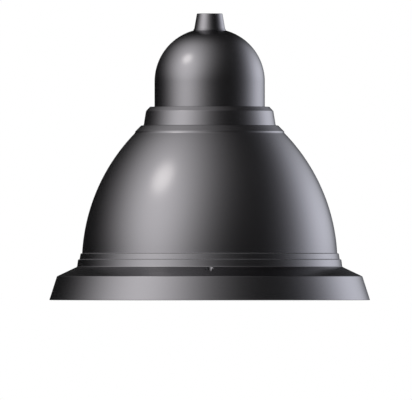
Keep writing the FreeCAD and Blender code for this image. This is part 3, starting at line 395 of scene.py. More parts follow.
# %% Bare metals
def bare_metal(slot, dark, light, roughness, grain, stretch, relief):
    """A bare metal with drawn-out grain. The grain is lines per metre and the relief is in millimetres."""
    finish = new_finish(slot)
    lines = noise(finish, grain, 4.0, stretch)
    dull = noise(finish, 35.0, 3.0)
    surface(
        finish,
        Base_Color=blend(lines, dark, light),
        Metallic=1.0,
        Roughness=roughness + 0.16 * (lines - 0.5) + 0.14 * (dull - 0.5),
        Normal=bump(lines, relief),
    )
    print(slot, "roughness", roughness)


bare_metal("stainless", (0.47, 0.465, 0.45), (0.63, 0.625, 0.61), 0.3, 1500.0, (1, 1, 0.12), 0.01)
bare_metal("bare_aluminium", (0.55, 0.55, 0.545), (0.68, 0.68, 0.675), 0.45, 900.0, (1, 1, 1), 0.03)
bare_metal("driver_case", (0.43, 0.43, 0.435), (0.57, 0.57, 0.575), 0.38, 1300.0, (0.05, 1, 1), 0.015)

# %% [markdown]
# Rubber, silicone and moulded plastics differ in colour, gloss and grain. Rubber is dull with a fine dry
# grain, silicone is smoother and shows a bloom of dust, and mouldings have the texture of a spark-eroded
# tool. All of them vary a little in colour and gloss from place to place.


# %% Rubbers and plastics
def moulded(slot, dark, light, roughness, grain, relief):
    """A moulding: its two shades, its gloss, its grain per metre and the grain's depth in millimetres."""
    finish = new_finish(slot)
    cloud = noise(finish, 24.0, 4.0)
    texture = noise(finish, grain, 2.0)
    surface(
        finish,
        Base_Color=blend(0.7 * cloud + 0.3 * texture, dark, light),
        Roughness=roughness + 0.14 * (cloud - 0.5) + 0.08 * (texture - 0.5),
        Normal=bump(texture, relief),
    )
    print(slot, "roughness", roughness)


moulded("black_rubber", (0.014, 0.014, 0.014), (0.03, 0.03, 0.029), 0.72, 1800.0, 0.04)
moulded("grey_silicone", (0.3, 0.3, 0.29), (0.41, 0.41, 0.4), 0.5, 900.0, 0.015)
moulded("terminal_plastic", (0.69, 0.68, 0.62), (0.79, 0.78, 0.72), 0.48, 2200.0, 0.02)
moulded("surge_plastic", (0.1, 0.11, 0.12), (0.14, 0.15, 0.16), 0.42, 2200.0, 0.02)
moulded("black_nylon", (0.022, 0.022, 0.022), (0.04, 0.04, 0.04), 0.45, 2400.0, 0.03)
moulded("lead_sheath", (0.035, 0.035, 0.035), (0.065, 0.065, 0.065), 0.4, 700.0, 0.015)

# %% [markdown]
# The reflector is white powder coat on spun aluminium: bright, satin, with the soft dimples of the powder.
# The glass is plain toughened pane with a trace of green, and the lens panel is clear acrylic. Both get a
# few faint hazy patches, as a pane has that was wiped by hand.

# %% Reflector, glass and lenses
powder = new_finish("white_reflector")
dimples = noise(powder, 620.0, 2.0)
film = noise(powder, 18.0, 3.0)
surface(
    powder,
    Base_Color=blend(film, (0.77, 0.77, 0.75), (0.83, 0.83, 0.81)),
    Roughness=0.34 + 0.1 * (dimples - 0.5),
    Coat_Weight=0.2,
    Coat_Roughness=0.3,
    Normal=bump(dimples, 0.04),
)


def clear_sheet(slot, tint, refraction, haze):
    """A clear sheet with a tint, an index of refraction and faint haze in patches."""
    finish = new_finish(slot)
    wiped = ramp(noise(finish, 9.0, 4.0, (1, 0.35, 1)), 0.5, 0.75)
    surface(
        finish,
        Base_Color=blend(wiped, tint, tuple(0.97 * part for part in tint)),
        Roughness=0.012 + haze * wiped,
        IOR=refraction,
        Transmission_Weight=1.0,
    )
    print(slot, "index", refraction)


clear_sheet("clear_glass", (0.98, 0.988, 0.983), 1.52, 0.04)
clear_sheet("clear_lens", (0.965, 0.975, 0.985), 1.49, 0.05)

# %% [markdown]
# ## Turned pieces
#
# Nearly every piece was turned or cast round one axis, so one tool makes them all. A half section is drawn
# corner by corner, its corners are rounded with a vertex bevel, its arcs are swept by spinning the last
# vertex, and the section is then spun once round the axis. Holes and bosses that aren't round the axis are
# cut or joined with the Boolean modifier afterwards, as they are drilled or cast on the real pieces. A tool
# runs a millimetre or more past the face where it starts or ends.

# %% Drawing tools
STEPS = 256
SMALL_STEPS = 48
TINY_STEPS = 24
ROUND_SEGMENTS = 4
SHARP_ANGLE = math.radians(32)
MERGE_DISTANCE = 0.0005
PAST = 1.0


def tidy(mesh):
    """Merges doubles and turns the faces outwards."""
    bmesh.ops.remove_doubles(mesh, verts=mesh.verts, dist=MERGE_DISTANCE)
    bmesh.ops.recalc_face_normals(mesh, faces=mesh.faces)
    return mesh


class Section:
    """A half section in the XZ plane, drawn from corner to corner in millimetres."""

    def __init__(self, radius, height):
        self.mesh = bmesh.new()
        self.dry = self.mesh.verts.layers.float.new("dry_spray")
        self.rounds = []
        self.first = self.tip = self.mesh.verts.new((radius, 0, height))

    def line(self, radius, height, setback=0.0, dry=0.0):
        """A straight stretch to a corner, with the setback of its rounding and the dry spray on that."""
        end = self.mesh.verts.new((radius, 0, height))
        self.mesh.edges.new((self.tip, end))
        self.tip = end
        if setback:
            self.rounds.append((end, setback, dry))

    def arc(self, centre, turn, steps, setback=0.0):
        """An arc about a centre to a corner. A positive turn, in radians, goes from +X up to +Z."""
        pivot = (centre[0], 0, centre[1])
        swept = bmesh.ops.spin(
            self.mesh, geom=[self.tip], cent=pivot, axis=(0, -1, 0), angle=turn, steps=steps
        )
        self.tip = swept["geom_last"][0]
        if setback:
            self.rounds.append((self.tip, setback, 0.0))

    def turned(self, steps=STEPS):
        """Closes the section unless it ends on the axis, rounds its corners and spins it."""
        if self.tip.co.x > 0:
            self.mesh.edges.new((self.tip, self.first))
        for corner, setback, dry in self.rounds:
            rounded = bmesh.ops.bevel(
                self.mesh, geom=[corner], offset=setback, affect="VERTICES", segments=ROUND_SEGMENTS,
                profile=0.5, material=-1,
            )["verts"]
            for vert in rounded:
                beside = [edge.other_vert(vert) for edge in vert.link_edges]
                vert[self.dry] = dry * all(other in rounded for other in beside)
        outline = self.mesh.verts[:] + self.mesh.edges[:]
        bmesh.ops.spin(self.mesh, geom=outline, axis=(0, 0, 1), angle=math.tau, steps=steps, use_merge=True)
        return tidy(self.mesh)


def bar(radius, low, high, sides=SMALL_STEPS):
    """An upright bar on the axis, between two heights."""
    mesh = bmesh.new()
    middle = Matrix.Translation((0, 0, (low + high) / 2))
    bmesh.ops.create_cone(
        mesh, cap_ends=True, segments=sides, radius1=radius, radius2=radius, depth=high - low, matrix=middle
    )
    return mesh


def hexagon(flats, low, high):
    """An upright hexagon bar of a width across its flats."""
    return bar(flats / math.sqrt(3), low, high, 6)


def angles_round(count, first=0.0):
    """Evenly spaced angles round the axis, in radians. The first is given in degrees from +X."""
    return [math.radians(first + 360 * index / count) for index in range(count)]


def spread(mesh, radius, angles, height=0.0):
    """Moves a drawing out from the axis and repeats it round the axis at the given angles."""
    bmesh.ops.translate(mesh, vec=(radius, 0, height), verts=mesh.verts)
    drawn = mesh.verts[:] + mesh.edges[:] + mesh.faces[:]
    for angle in angles[1:]:
        copied = bmesh.ops.duplicate(mesh, geom=drawn)["geom"]
        moved = [item for item in copied if isinstance(item, bmesh.types.BMVert)]
        bmesh.ops.rotate(mesh, verts=moved, matrix=Matrix.Rotation(angle, 3, "Z"))
    own = [item for item in drawn if isinstance(item, bmesh.types.BMVert)]
    bmesh.ops.rotate(mesh, verts=own, matrix=Matrix.Rotation(angles[0], 3, "Z"))
    return mesh


def laid_back(mesh, place):
    """An upright drawing laid down to point to the back, and moved to a place."""
    bmesh.ops.rotate(mesh, verts=mesh.verts, matrix=Matrix.Rotation(-math.pi / 2, 3, "X"))
    bmesh.ops.translate(mesh, vec=place, verts=mesh.verts)
    return mesh


def shear(verts, slope):
    """Lifts vertices by a slope along X, to lay the end of a bar along a cone."""
    for vert in verts:
        vert.co.z += slope * vert.co.x


def carve(mesh, tool, operation="DIFFERENCE"):
    """A drawn mesh with a tool cut out of it, or joined to it."""
    body = mesh_object("body", mesh)
    cutter = mesh_object("cutter", tool)
    modifier = body.modifiers.new("carve", "BOOLEAN")
    modifier.operation = operation
    modifier.solver = "EXACT"
    modifier.object = cutter
    carved = body.evaluated_get(bpy.context.evaluated_depsgraph_get())
    result = bmesh.new()
    result.from_mesh(carved.to_mesh())
    for used in (body, cutter):
        bpy.data.meshes.remove(used.data)
    return tidy(result)


def add_piece(name, node, mesh):
    """Turns a drawing into a finished piece that stands for a node of the frame."""
    bmesh.ops.scale(mesh, vec=(MM, MM, MM), verts=mesh.verts)
    piece = mesh_object(name, mesh)
    piece.data.shade_smooth()
    piece.data.set_sharp_from_angle(angle=SHARP_ANGLE)
    piece.data.materials.append(finishes[slot_of[node]])
    normals = piece.modifiers.new("even_shading", "WEIGHTED_NORMAL")
    normals.keep_sharp = True
    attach(piece, "root")
    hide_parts(node)
    print(name, len(piece.data.polygons), "faces")


def corners(node):
    """A node's lowest and highest corners, in millimetres."""
    low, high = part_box(node)
    return low / MM, high / MM


print("drawing tools are ready, with", STEPS, "steps to a turn")

# %% [markdown]
# ## The bell
#
# The bell is one casting: the flange's lip, a sloping shoulder, two low beads, a single long arc and a
# chamfered deck. Its edges and its inner corners are rounded by about a millimetre, as on any casting. The
# rounding and the half-dry spray on it draw the thin lines along the beads, light where the wall is dark,
# and the larger fillet under the crown's edge catches the main lamp in a bright one. The arc's centre
# follows from its ends and its radius.

# %% Bell section
EDGE = 1.1
CORNER = 0.5
FILLET = 1.0
FOOT_FILLET = 1.4
CROWN_FILLET = 1.6
DRY_LEDGE = 0.85
DRY_FOOT = 0.35
FIT_GAP = 0.3
RIM_HEIGHT = 34.3
RIM_FLARE = 11.0
LIP_HEIGHT = 4.3
SHOULDER_WIDTH = 32.6
SHOULDER_RISE = 15.4
LOWER_BEAD_HEIGHT = 12.0
UPPER_BEAD_HEIGHT = 9.7
BEAD_TAPER = 1.6
BEAD_STEP = 2.5
BELL_HEIGHT = 195.5
BELL_TOP_RADIUS = 120.8
BELL_ARC_RADIUS = 303.2
BELL_WALL = 3.0
CROWN_EDGE = 2.2
CROWN_CHAMFER = 9.8
DECK_THICKNESS = 7.0
DECK_HOLE = 13.0
FLANGE_WIDTH = 9.0
ARC_STEPS = 48

bell_low, bell_high = corners("bell_housing")
rim_top_radius = bell_high.x
z_parting = bell_low.z
z_deck = bell_high.z
z_deck_under = z_deck - DECK_THICKNESS
z_shoulder = z_parting + LIP_HEIGHT
z_bead = z_shoulder + SHOULDER_RISE
z_upper_bead = z_bead + LOWER_BEAD_HEIGHT
z_foot = z_upper_bead + UPPER_BEAD_HEIGHT
z_crown = z_foot + BELL_HEIGHT
rim_slope = RIM_FLARE / RIM_HEIGHT
shoulder_slope = SHOULDER_RISE / SHOULDER_WIDTH
shoulder_radius = rim_top_radius - rim_slope * LIP_HEIGHT
bead_radius = shoulder_radius - SHOULDER_WIDTH
upper_bead_radius = bead_radius - BEAD_TAPER - BEAD_STEP
foot_radius = upper_bead_radius - BEAD_TAPER - BEAD_STEP
crown_radius = BELL_TOP_RADIUS - CROWN_CHAMFER
flange_inner = rim_top_radius - FLANGE_WIDTH

half_chord = Vector((BELL_TOP_RADIUS - foot_radius, BELL_HEIGHT)) / 2
inward = math.sqrt(BELL_ARC_RADIUS**2 - half_chord.length_squared) / half_chord.length
bell_centre = Vector((foot_radius, z_foot)) + half_chord + inward * Vector((-half_chord.y, half_chord.x))
inner_arc = BELL_ARC_RADIUS - BELL_WALL


def arc_lift(height, radius):
    """Angle above the horizon at which an arc about the bell's centre is at a height."""
    return math.asin((height - bell_centre.y) / radius)


def arc_radius(height, radius):
    """How far from the axis an arc about the bell's centre is at a height."""
    return bell_centre.x + radius * math.cos(arc_lift(height, radius))


under_wall = BELL_WALL * math.hypot(1, shoulder_slope)
z_under = z_bead - under_wall
bell_turn = arc_lift(z_crown, BELL_ARC_RADIUS) - arc_lift(z_foot, BELL_ARC_RADIUS)
inner_turn = arc_lift(z_deck_under, inner_arc) - arc_lift(z_foot, inner_arc)

bell = Section(rim_top_radius, z_parting)
bell.line(shoulder_radius, z_shoulder, EDGE)
bell.line(bead_radius, z_bead, FOOT_FILLET, DRY_FOOT)
bell.line(bead_radius - BEAD_TAPER, z_upper_bead, EDGE, DRY_LEDGE)
bell.line(upper_bead_radius, z_upper_bead, FILLET, DRY_LEDGE)
bell.line(upper_bead_radius - BEAD_TAPER, z_foot, EDGE, DRY_LEDGE)
bell.line(foot_radius, z_foot, FILLET, DRY_LEDGE)
bell.arc(bell_centre, bell_turn, ARC_STEPS, CROWN_FILLET)
bell.line(BELL_TOP_RADIUS, z_crown + CROWN_EDGE, CORNER)
bell.line(crown_radius, z_deck, EDGE)
bell.line(DECK_HOLE, z_deck)
bell.line(DECK_HOLE, z_deck_under)
bell.line(arc_radius(z_deck_under, inner_arc), z_deck_under)
bell.arc(bell_centre, -inner_turn, ARC_STEPS)
bell.line(arc_radius(z_foot, inner_arc), z_under)
bell.line(bead_radius, z_under)
bell.line(flange_inner, z_under - shoulder_slope * (flange_inner - bead_radius))
bell.line(flange_inner, z_parting)
bell_mesh = bell.turned()
print("bell arc centred at", [round(c, 1) for c in bell_centre], "turns", round(math.degrees(bell_turn), 1))

# %% [markdown]
# Three cap screws are sunk in pockets in the shoulder. A pocket is drilled straight down into the slope, so
# its mouth is a slanting oval. The tool is turned like the rest, with a flared mouth, and then its upper
# rings are sheared to lie along the slope: what it cuts has a softened lip all round. A pad cast inside the
# flange carries the pocket's floor.

# %% Screw pockets
POCKET_RADIUS = 6.8
POCKET_DEPTH = 10.8
POCKET_LIP = 0.7
PAD_WALL = 3.0
SCREW_INSET = 8.0
SCREW_HOLE = 3.4
OVERSHOOT = 3.0

screw_angles = angles_round(3, -90)
screw_circle = bead_radius + SCREW_INSET
z_slope = z_bead - shoulder_slope * SCREW_INSET
z_pocket = z_slope - POCKET_DEPTH

pocket = Section(0, -POCKET_DEPTH)
pocket.line(POCKET_RADIUS, -POCKET_DEPTH, CORNER)
pocket.line(POCKET_RADIUS, -POCKET_LIP)
pocket.arc((POCKET_RADIUS + POCKET_LIP, -POCKET_LIP), -math.pi / 2, ROUND_SEGMENTS)
pocket.line(POCKET_RADIUS + POCKET_LIP, OVERSHOOT)
pocket.line(0, OVERSHOOT)
pocket_mesh = pocket.turned(SMALL_STEPS)
shear([vert for vert in pocket_mesh.verts if vert.co.z > -POCKET_DEPTH / 2], -shoulder_slope)

pad = bar(POCKET_RADIUS + PAD_WALL, z_parting - z_slope, -under_wall / 2)
shear([vert for vert in pad.verts if vert.co.z > -POCKET_DEPTH / 2], -shoulder_slope)

bell_mesh = carve(bell_mesh, spread(pad, screw_circle, screw_angles, z_slope), "UNION")
bell_mesh = carve(bell_mesh, spread(pocket_mesh, screw_circle, screw_angles, z_slope))
shank_holes = bar(SCREW_HOLE, z_parting - OVERSHOOT, z_pocket + PAST)
bell_mesh = carve(bell_mesh, spread(shank_holes, screw_circle, screw_angles))
print("pockets at", round(screw_circle, 1), "mm, floor at", round(z_pocket, 1), "mm")

# %% [markdown]
# Inside the bell six posts carry the heat sink. Each post stands on a web that grows out of the wall. The
# deck has holes for the collar's screws and blind ones for the stand-offs of the gear tray.

# %% Posts and holes in the bell
SINK_BOSS_RADIUS = 6.5
SINK_BOSS_HEIGHT = 24.0
SINK_WEB = 7.0
SINK_SEAT = 16.0
SINK_TAP = 2.6
SINK_TAP_DEPTH = 11.0
SINK_SCREW_INSET = 8.0
COLLAR_SETBACK = 3.9
COLLAR_SCREW_INSET = 4.7
COLLAR_CLEARANCE = 2.4
STANDOFF_INSET = 11.7
STUD_TAP = 2.6
STUD_DEPTH = 5.3
STUD_ANGLES = (20, 160, 270)

sink_angles = angles_round(6)
sink_circle = corners("heat_sink")[1].x - SINK_SCREW_INSET
z_post = z_bead + SINK_SEAT
z_post_top = z_post + SINK_BOSS_HEIGHT
web_end = arc_radius(z_post_top, inner_arc) + BELL_WALL / 2
web = bmesh.new()
web_place = Matrix.Translation(((web_end - sink_circle) / 2, 0, (z_post + z_post_top) / 2))
web_size = Matrix.Diagonal((web_end - sink_circle, SINK_WEB, SINK_BOSS_HEIGHT, 1))
bmesh.ops.create_cube(web, size=1.0, matrix=web_place @ web_size)
bell_mesh = carve(bell_mesh, spread(web, sink_circle, sink_angles), "UNION")
posts = bar(SINK_BOSS_RADIUS, z_post, z_post_top)
bell_mesh = carve(bell_mesh, spread(posts, sink_circle, sink_angles), "UNION")
taps = bar(SINK_TAP, z_post - PAST, z_post + SINK_TAP_DEPTH, TINY_STEPS)
bell_mesh = carve(bell_mesh, spread(taps, sink_circle, sink_angles))

collar_circle = crown_radius - COLLAR_SETBACK - COLLAR_SCREW_INSET
collar_holes = bar(COLLAR_CLEARANCE, z_deck_under - PAST, z_deck + PAST, TINY_STEPS)
bell_mesh = carve(bell_mesh, spread(collar_holes, collar_circle, angles_round(6)))
studs = bar(STUD_TAP, z_deck_under - PAST, z_deck_under + STUD_DEPTH, TINY_STEPS)
stud_angles = [math.radians(angle) for angle in STUD_ANGLES]
bell_mesh = carve(bell_mesh, spread(studs, crown_radius - STANDOFF_INSET, stud_angles))
add_piece("bell_casting", "bell_housing", bell_mesh)

# %% [markdown]
# ## Collar and dome
#
# The collar is a low cone with a chamfered top. It clamps the foot of the dome, which goes straight up for
# a short way and then curves over in one arc to the flat seat of the neck.

# %% Collar
COLLAR_TAPER = 3.8
COLLAR_WALL_HEIGHT = 23.2
COLLAR_CHAMFER_WIDTH = 6.5
COLLAR_WALL = 4.0
COLLAR_TAP = 2.1
COLLAR_TAP_DEPTH = 9.0
DOME_FLANGE_WIDTH = 8.0
DOME_FLANGE_TOP = 5.5

collar_high = corners("collar_ring")[1]
dome_low, dome_high = corners("dome_cover")
collar_edge = collar_high.x - COLLAR_TAPER
dome_radius = dome_high.x - DOME_FLANGE_WIDTH
bore = dome_radius + FIT_GAP
recess = dome_high.x + FIT_GAP
z_collar = collar_high.z
z_chamfer = z_deck + COLLAR_WALL_HEIGHT
z_flange = z_deck + DOME_FLANGE_TOP

collar = Section(collar_high.x, z_deck)
collar.line(collar_edge, z_chamfer, CORNER)
collar.line(collar_edge - COLLAR_CHAMFER_WIDTH, z_collar, CORNER)
collar.line(bore, z_collar, CORNER)
collar.line(bore, z_flange)
collar.line(bore + COLLAR_WALL, z_flange)
collar.line(bore + COLLAR_WALL, z_chamfer)
collar.line(recess, z_chamfer)
collar.line(recess, z_deck)
collar_taps = bar(COLLAR_TAP, z_deck - PAST, z_deck + COLLAR_TAP_DEPTH, TINY_STEPS)
collar_mesh = carve(collar.turned(), spread(collar_taps, collar_circle, angles_round(6)))
add_piece("collar_casting", "collar_ring", collar_mesh)

# %% Dome
DOME_STRAIGHT = 41.0
DOME_ARC_OFFSET = 3.65
DOME_WALL = 3.0
SHANK_HOLE = 19.3
CROWN_BOSS = 33.0
CROWN_BOSS_PROUD = 1.0

neck_low, neck_high = corners("suspension_neck")
z_seat = dome_high.z
dome_centre = (DOME_ARC_OFFSET, z_collar + DOME_STRAIGHT)
dome_arc = dome_radius - DOME_ARC_OFFSET
inner_dome_arc = dome_arc - DOME_WALL
dome_turn = math.acos((neck_high.x + FIT_GAP - DOME_ARC_OFFSET) / dome_arc)
boss_turn = math.acos((CROWN_BOSS - DOME_ARC_OFFSET) / inner_dome_arc)
z_boss = dome_centre[1] + inner_dome_arc * math.sin(boss_turn)

dome = Section(dome_high.x, dome_low.z)
dome.line(dome_high.x, z_flange)
dome.line(dome_radius, z_flange)
dome.line(dome_radius, dome_centre[1])
dome.arc(dome_centre, dome_turn, ARC_STEPS)
dome.line(SHANK_HOLE, z_seat)
dome.line(SHANK_HOLE, z_boss - CROWN_BOSS_PROUD)
dome.line(CROWN_BOSS, z_boss - CROWN_BOSS_PROUD)
dome.line(CROWN_BOSS, z_boss)
dome.arc(dome_centre, -boss_turn, ARC_STEPS)
dome.line(dome_radius - DOME_WALL, dome_low.z)
add_piece("dome_casting", "dome_cover", dome.turned())

# %% [markdown]
# ## Rim
#
# The rim is a flared band that carries the slope of the bell's lip on down to the floor. Under it a splayed
# soffit leads in to the light's mouth, with a shelf for the glass and an upstand round its gasket. Bosses
# for the frame screws and the glass clips stand on the soffit's upper side.

# %% Rim section
RIM_LAND = 8.0
RIM_WALL = 4.0
SOFFIT_RISE = 14.0
SHELF_THICKNESS = 4.0
UPSTAND_WALL = 3.0
UPSTAND_HEIGHT = 5.0
GLASS_LAP = 10.0
SEAT_DEPTH = 5.0
SEAL_WIDTH = 4.0
SEAL_DEPTH = 2.5

rim_radius = rim_top_radius + RIM_FLARE
soffit_foot = rim_radius - RIM_LAND
glass_low, glass_high = corners("glass_pane")
gasket_low, gasket_high = corners("glass_gasket")
mouth_radius = glass_high.x - GLASS_LAP
soffit_slope = SOFFIT_RISE / (soffit_foot - mouth_radius)
upstand = gasket_high.x + FIT_GAP
upstand_outer = upstand + UPSTAND_WALL
z_shelf = gasket_low.z
seal_middle = rim_top_radius - FLANGE_WIDTH / 2
z_seat_under = z_parting - SEAT_DEPTH


def band_inside(height):
    """Inner radius of the rim's band at a height."""
    return rim_radius - RIM_WALL - rim_slope * height


def soffit_height(radius):
    """Height of the soffit's underside at a radius."""
    return soffit_slope * (soffit_foot - radius)


z_haunch = z_seat_under - (band_inside(z_seat_under) - flange_inner)
z_valley = (soffit_height(rim_radius - RIM_WALL) + SHELF_THICKNESS) / (1 - soffit_slope * rim_slope)

rim = Section(rim_top_radius, z_parting)
rim.line(seal_middle + SEAL_WIDTH / 2, z_parting)
rim.line(seal_middle + SEAL_WIDTH / 2, z_parting - SEAL_DEPTH)
rim.line(seal_middle - SEAL_WIDTH / 2, z_parting - SEAL_DEPTH)
rim.line(seal_middle - SEAL_WIDTH / 2, z_parting)
rim.line(flange_inner, z_parting)
rim.line(flange_inner, z_seat_under)
rim.line(band_inside(z_haunch), z_haunch)
rim.line(band_inside(z_valley), z_valley)
rim.line(upstand_outer, soffit_height(upstand_outer) + SHELF_THICKNESS)
rim.line(upstand_outer, z_shelf + UPSTAND_HEIGHT)
rim.line(upstand, z_shelf + UPSTAND_HEIGHT)
rim.line(upstand, z_shelf)
rim.line(mouth_radius, z_shelf, EDGE)
rim.line(mouth_radius, SOFFIT_RISE, EDGE)
rim.line(soffit_foot, 0, EDGE)
rim.line(rim_radius, 0, EDGE)
rim_mesh = rim.turned()
print("mouth", round(mouth_radius, 1), "mm, soffit slope", round(math.degrees(math.atan(soffit_slope)), 1))

# %% Bosses in the rim
FRAME_BOSS_RADIUS = 8.0
FRAME_TAP = 3.1
SCREW_LENGTH = 25.0
WASHER_THICKNESS = 1.2
CLIP_BOSS_RADIUS = 4.5
CLIP_TAP = 2.1
TIP_GAP = 1.0

z_head = z_pocket + WASHER_THICKNESS
clip_angles = angles_round(6, -60)
clip_circle = upstand + UPSTAND_WALL / 2 + CLIP_BOSS_RADIUS
z_clip_top = gasket_high.z


def soffit_boss(radius, circle, z_top):
    """A boss whose foot lies along the middle of the soffit's wall."""
    z_root = soffit_height(circle) + SHELF_THICKNESS / 2
    z_middle = (z_root + z_top) / 2
    boss = bar(radius, z_root, z_top)
    shear([vert for vert in boss.verts if vert.co.z < z_middle], -soffit_slope)
    return boss


frame_bosses = soffit_boss(FRAME_BOSS_RADIUS, screw_circle, z_parting)
rim_mesh = carve(rim_mesh, spread(frame_bosses, screw_circle, screw_angles), "UNION")
clip_bosses = soffit_boss(CLIP_BOSS_RADIUS, clip_circle, z_clip_top)
rim_mesh = carve(rim_mesh, spread(clip_bosses, clip_circle, clip_angles), "UNION")
frame_taps = bar(FRAME_TAP, z_head - SCREW_LENGTH - TIP_GAP, z_parting + PAST, TINY_STEPS)
rim_mesh = carve(rim_mesh, spread(frame_taps, screw_circle, screw_angles))
z_clip_tip = soffit_height(clip_circle) + SHELF_THICKNESS - TIP_GAP
clip_taps = bar(CLIP_TAP, z_clip_tip, z_clip_top + PAST, TINY_STEPS)
rim_mesh = carve(rim_mesh, spread(clip_taps, clip_circle, clip_angles))
add_piece("rim_casting", "rim_frame", rim_mesh)

# %% [markdown]
# ## Neck
#
# The neck is turned from bar: a slim cone on a low bead, with a pipe thread inside that takes the stem of a
# bracket. The thread is cut as on a lathe: a small tooth section is swept along a helix by a spin that also
# climbs, and the sweep is taken out of the bore. The hole for the grub screw is drilled from the back.

# %% Neck
THREAD_RADIUS = 12.06
THREAD_LENGTH = 28.0
THREAD_PITCH = 1.814
THREAD_DEPTH = 1.16
TOOTH_ROOT = 0.8
TOOTH_TIP = 0.14
TOOTH_LAP = 0.1
TURN_STEPS = 40
NECK_STEPS = 128
LEAD_IN = 1.2
RUN_OUT = 3.0
NECK_TOP_RADIUS = 20.7
NECK_BEAD = 1.0
NECK_BEAD_HEIGHT = 2.2
SHANK_RADIUS = 19.0
SEAL_LAND = 2.1
NECK_SEAL_WIDTH = 3.0
NECK_SEAL_DEPTH = 1.6
GLAND_HOLE = 8.0
GRUB_RADIUS = 3.0
GRUB_DROP = 10.0

z_neck = neck_high.z
z_thread_end = z_neck - THREAD_LENGTH
seal_inner = SHANK_RADIUS + SEAL_LAND
seal_outer = seal_inner + NECK_SEAL_WIDTH
z_bead_top = z_seat + NECK_BEAD_HEIGHT

neck = Section(THREAD_RADIUS + LEAD_IN, z_neck)
neck.line(NECK_TOP_RADIUS, z_neck, EDGE)
neck.line(neck_high.x - NECK_BEAD, z_bead_top, CORNER)
neck.line(neck_high.x, z_bead_top, CORNER)
neck.line(neck_high.x, z_seat)
neck.line(seal_outer, z_seat)
neck.line(seal_outer, z_seat + NECK_SEAL_DEPTH)
neck.line(seal_inner, z_seat + NECK_SEAL_DEPTH)
neck.line(seal_inner, z_seat)
neck.line(SHANK_RADIUS, z_seat)
neck.line(SHANK_RADIUS, neck_low.z)
neck.line(GLAND_HOLE, neck_low.z)
neck.line(GLAND_HOLE, z_thread_end)
neck.line(THREAD_RADIUS, z_thread_end)
neck.line(THREAD_RADIUS, z_neck - LEAD_IN)
neck_mesh = neck.turned(NECK_STEPS)

tooth = Section(THREAD_RADIUS - TOOTH_LAP, z_thread_end + RUN_OUT - TOOTH_ROOT)
tooth.line(THREAD_RADIUS + THREAD_DEPTH, z_thread_end + RUN_OUT - TOOTH_TIP)
tooth.line(THREAD_RADIUS + THREAD_DEPTH, z_thread_end + RUN_OUT + TOOTH_TIP)
tooth.line(THREAD_RADIUS - TOOTH_LAP, z_thread_end + RUN_OUT + TOOTH_ROOT)
thread = tooth.mesh
bmesh.ops.contextual_create(thread, geom=thread.verts[:])
turns = math.ceil((THREAD_LENGTH - RUN_OUT) / THREAD_PITCH) + 1
bmesh.ops.spin(
    thread,
    geom=thread.verts[:] + thread.edges[:] + thread.faces[:],
    axis=(0, 0, 1),
    dvec=(0, 0, THREAD_PITCH / TURN_STEPS),
    angle=math.tau * turns,
    steps=TURN_STEPS * turns,
)
open_ends = [edge for edge in thread.edges if edge.is_boundary]
bmesh.ops.holes_fill(thread, edges=open_ends, sides=4)
print("thread of", turns, "turns,", len(open_ends), "open edges filled")
neck_mesh = carve(neck_mesh, tidy(thread))

grub_hole = bar(GRUB_RADIUS, 0, 2 * NECK_TOP_RADIUS)
neck_mesh = carve(neck_mesh, laid_back(grub_hole, (0, 0, z_neck - GRUB_DROP)))
add_piece("neck_turning", "suspension_neck", neck_mesh)

# %% [markdown]
# ## Screws
#
# The screws that show are socket screws: a turned shank and head with softened edges, and a hexagon cut
# into the head. Those that look down under the glass are the same, turned over.

# %% Screws
CAP_SHANK = 3.0
CAP_HEAD = 5.0
CAP_HEAD_HEIGHT = 6.0
CAP_FLATS = 5.0
GRUB_SCREW = 2.9
GRUB_LENGTH = 8.0
GRUB_FLATS = 3.0


def socket_screw(shank, length, head, head_height, flats, turned_over=False):
    """A socket screw with the underside of its head at height 0, pointing down unless turned over."""
    body = Section(0, -length)
    body.line(shank, -length, shank / 4)
    body.line(shank, 0)
    body.line(head, 0, head / 25)
    body.line(head, head_height, head / 9)
    body.line(0, head_height)
    socket = hexagon(flats, head_height * 0.45, head_height + PAST)
    mesh = carve(body.turned(SMALL_STEPS), socket)
    if turned_over:
        bmesh.ops.rotate(mesh, verts=mesh.verts, matrix=Matrix.Rotation(math.pi, 3, "X"))
    return mesh


cap_screw = socket_screw(CAP_SHANK, SCREW_LENGTH, CAP_HEAD, CAP_HEAD_HEIGHT, CAP_FLATS)
add_piece("cap_screws", "frame_screws", spread(cap_screw, screw_circle, screw_angles, z_head))

grub = Section(0, 0)
grub.line(GRUB_SCREW, 0, CORNER)
grub.line(GRUB_SCREW, GRUB_LENGTH, CORNER)
grub.line(0, GRUB_LENGTH)
grub_socket = hexagon(GRUB_FLATS, GRUB_LENGTH / 2, GRUB_LENGTH + PAST)
grub_mesh = carve(grub.turned(SMALL_STEPS), grub_socket)
grub_place = (0, THREAD_RADIUS + FIT_GAP, z_neck - GRUB_DROP)
add_piece("grub_screw", "neck_grub_screw", laid_back(grub_mesh, grub_place))

# %% [markdown]
# ## Under the glass
#
# From below one looks through a flat pane into a white reflector. The pane has a ground edge and sits in a
# grey channel gasket. The reflector is spun sheet: a flange under the heat sink and a skirt that flares
# down to the glass.

# %% Glass, gasket and reflector
GROUND_EDGE = 0.8
GASKET_INSIDE = 6.0
REFLECTOR_WALL = 1.2
REFLECTOR_FLANGE = 18.0
SMALL_CLEARANCE = 1.9

pane = Section(0, glass_low.z)
pane.line(glass_high.x - GROUND_EDGE, glass_low.z)
pane.line(glass_high.x, glass_low.z + GROUND_EDGE)
pane.line(glass_high.x, glass_high.z - GROUND_EDGE)
pane.line(glass_high.x - GROUND_EDGE, glass_high.z)
pane.line(0, glass_high.z)
add_piece("glass_sheet", "glass_pane", pane.turned())

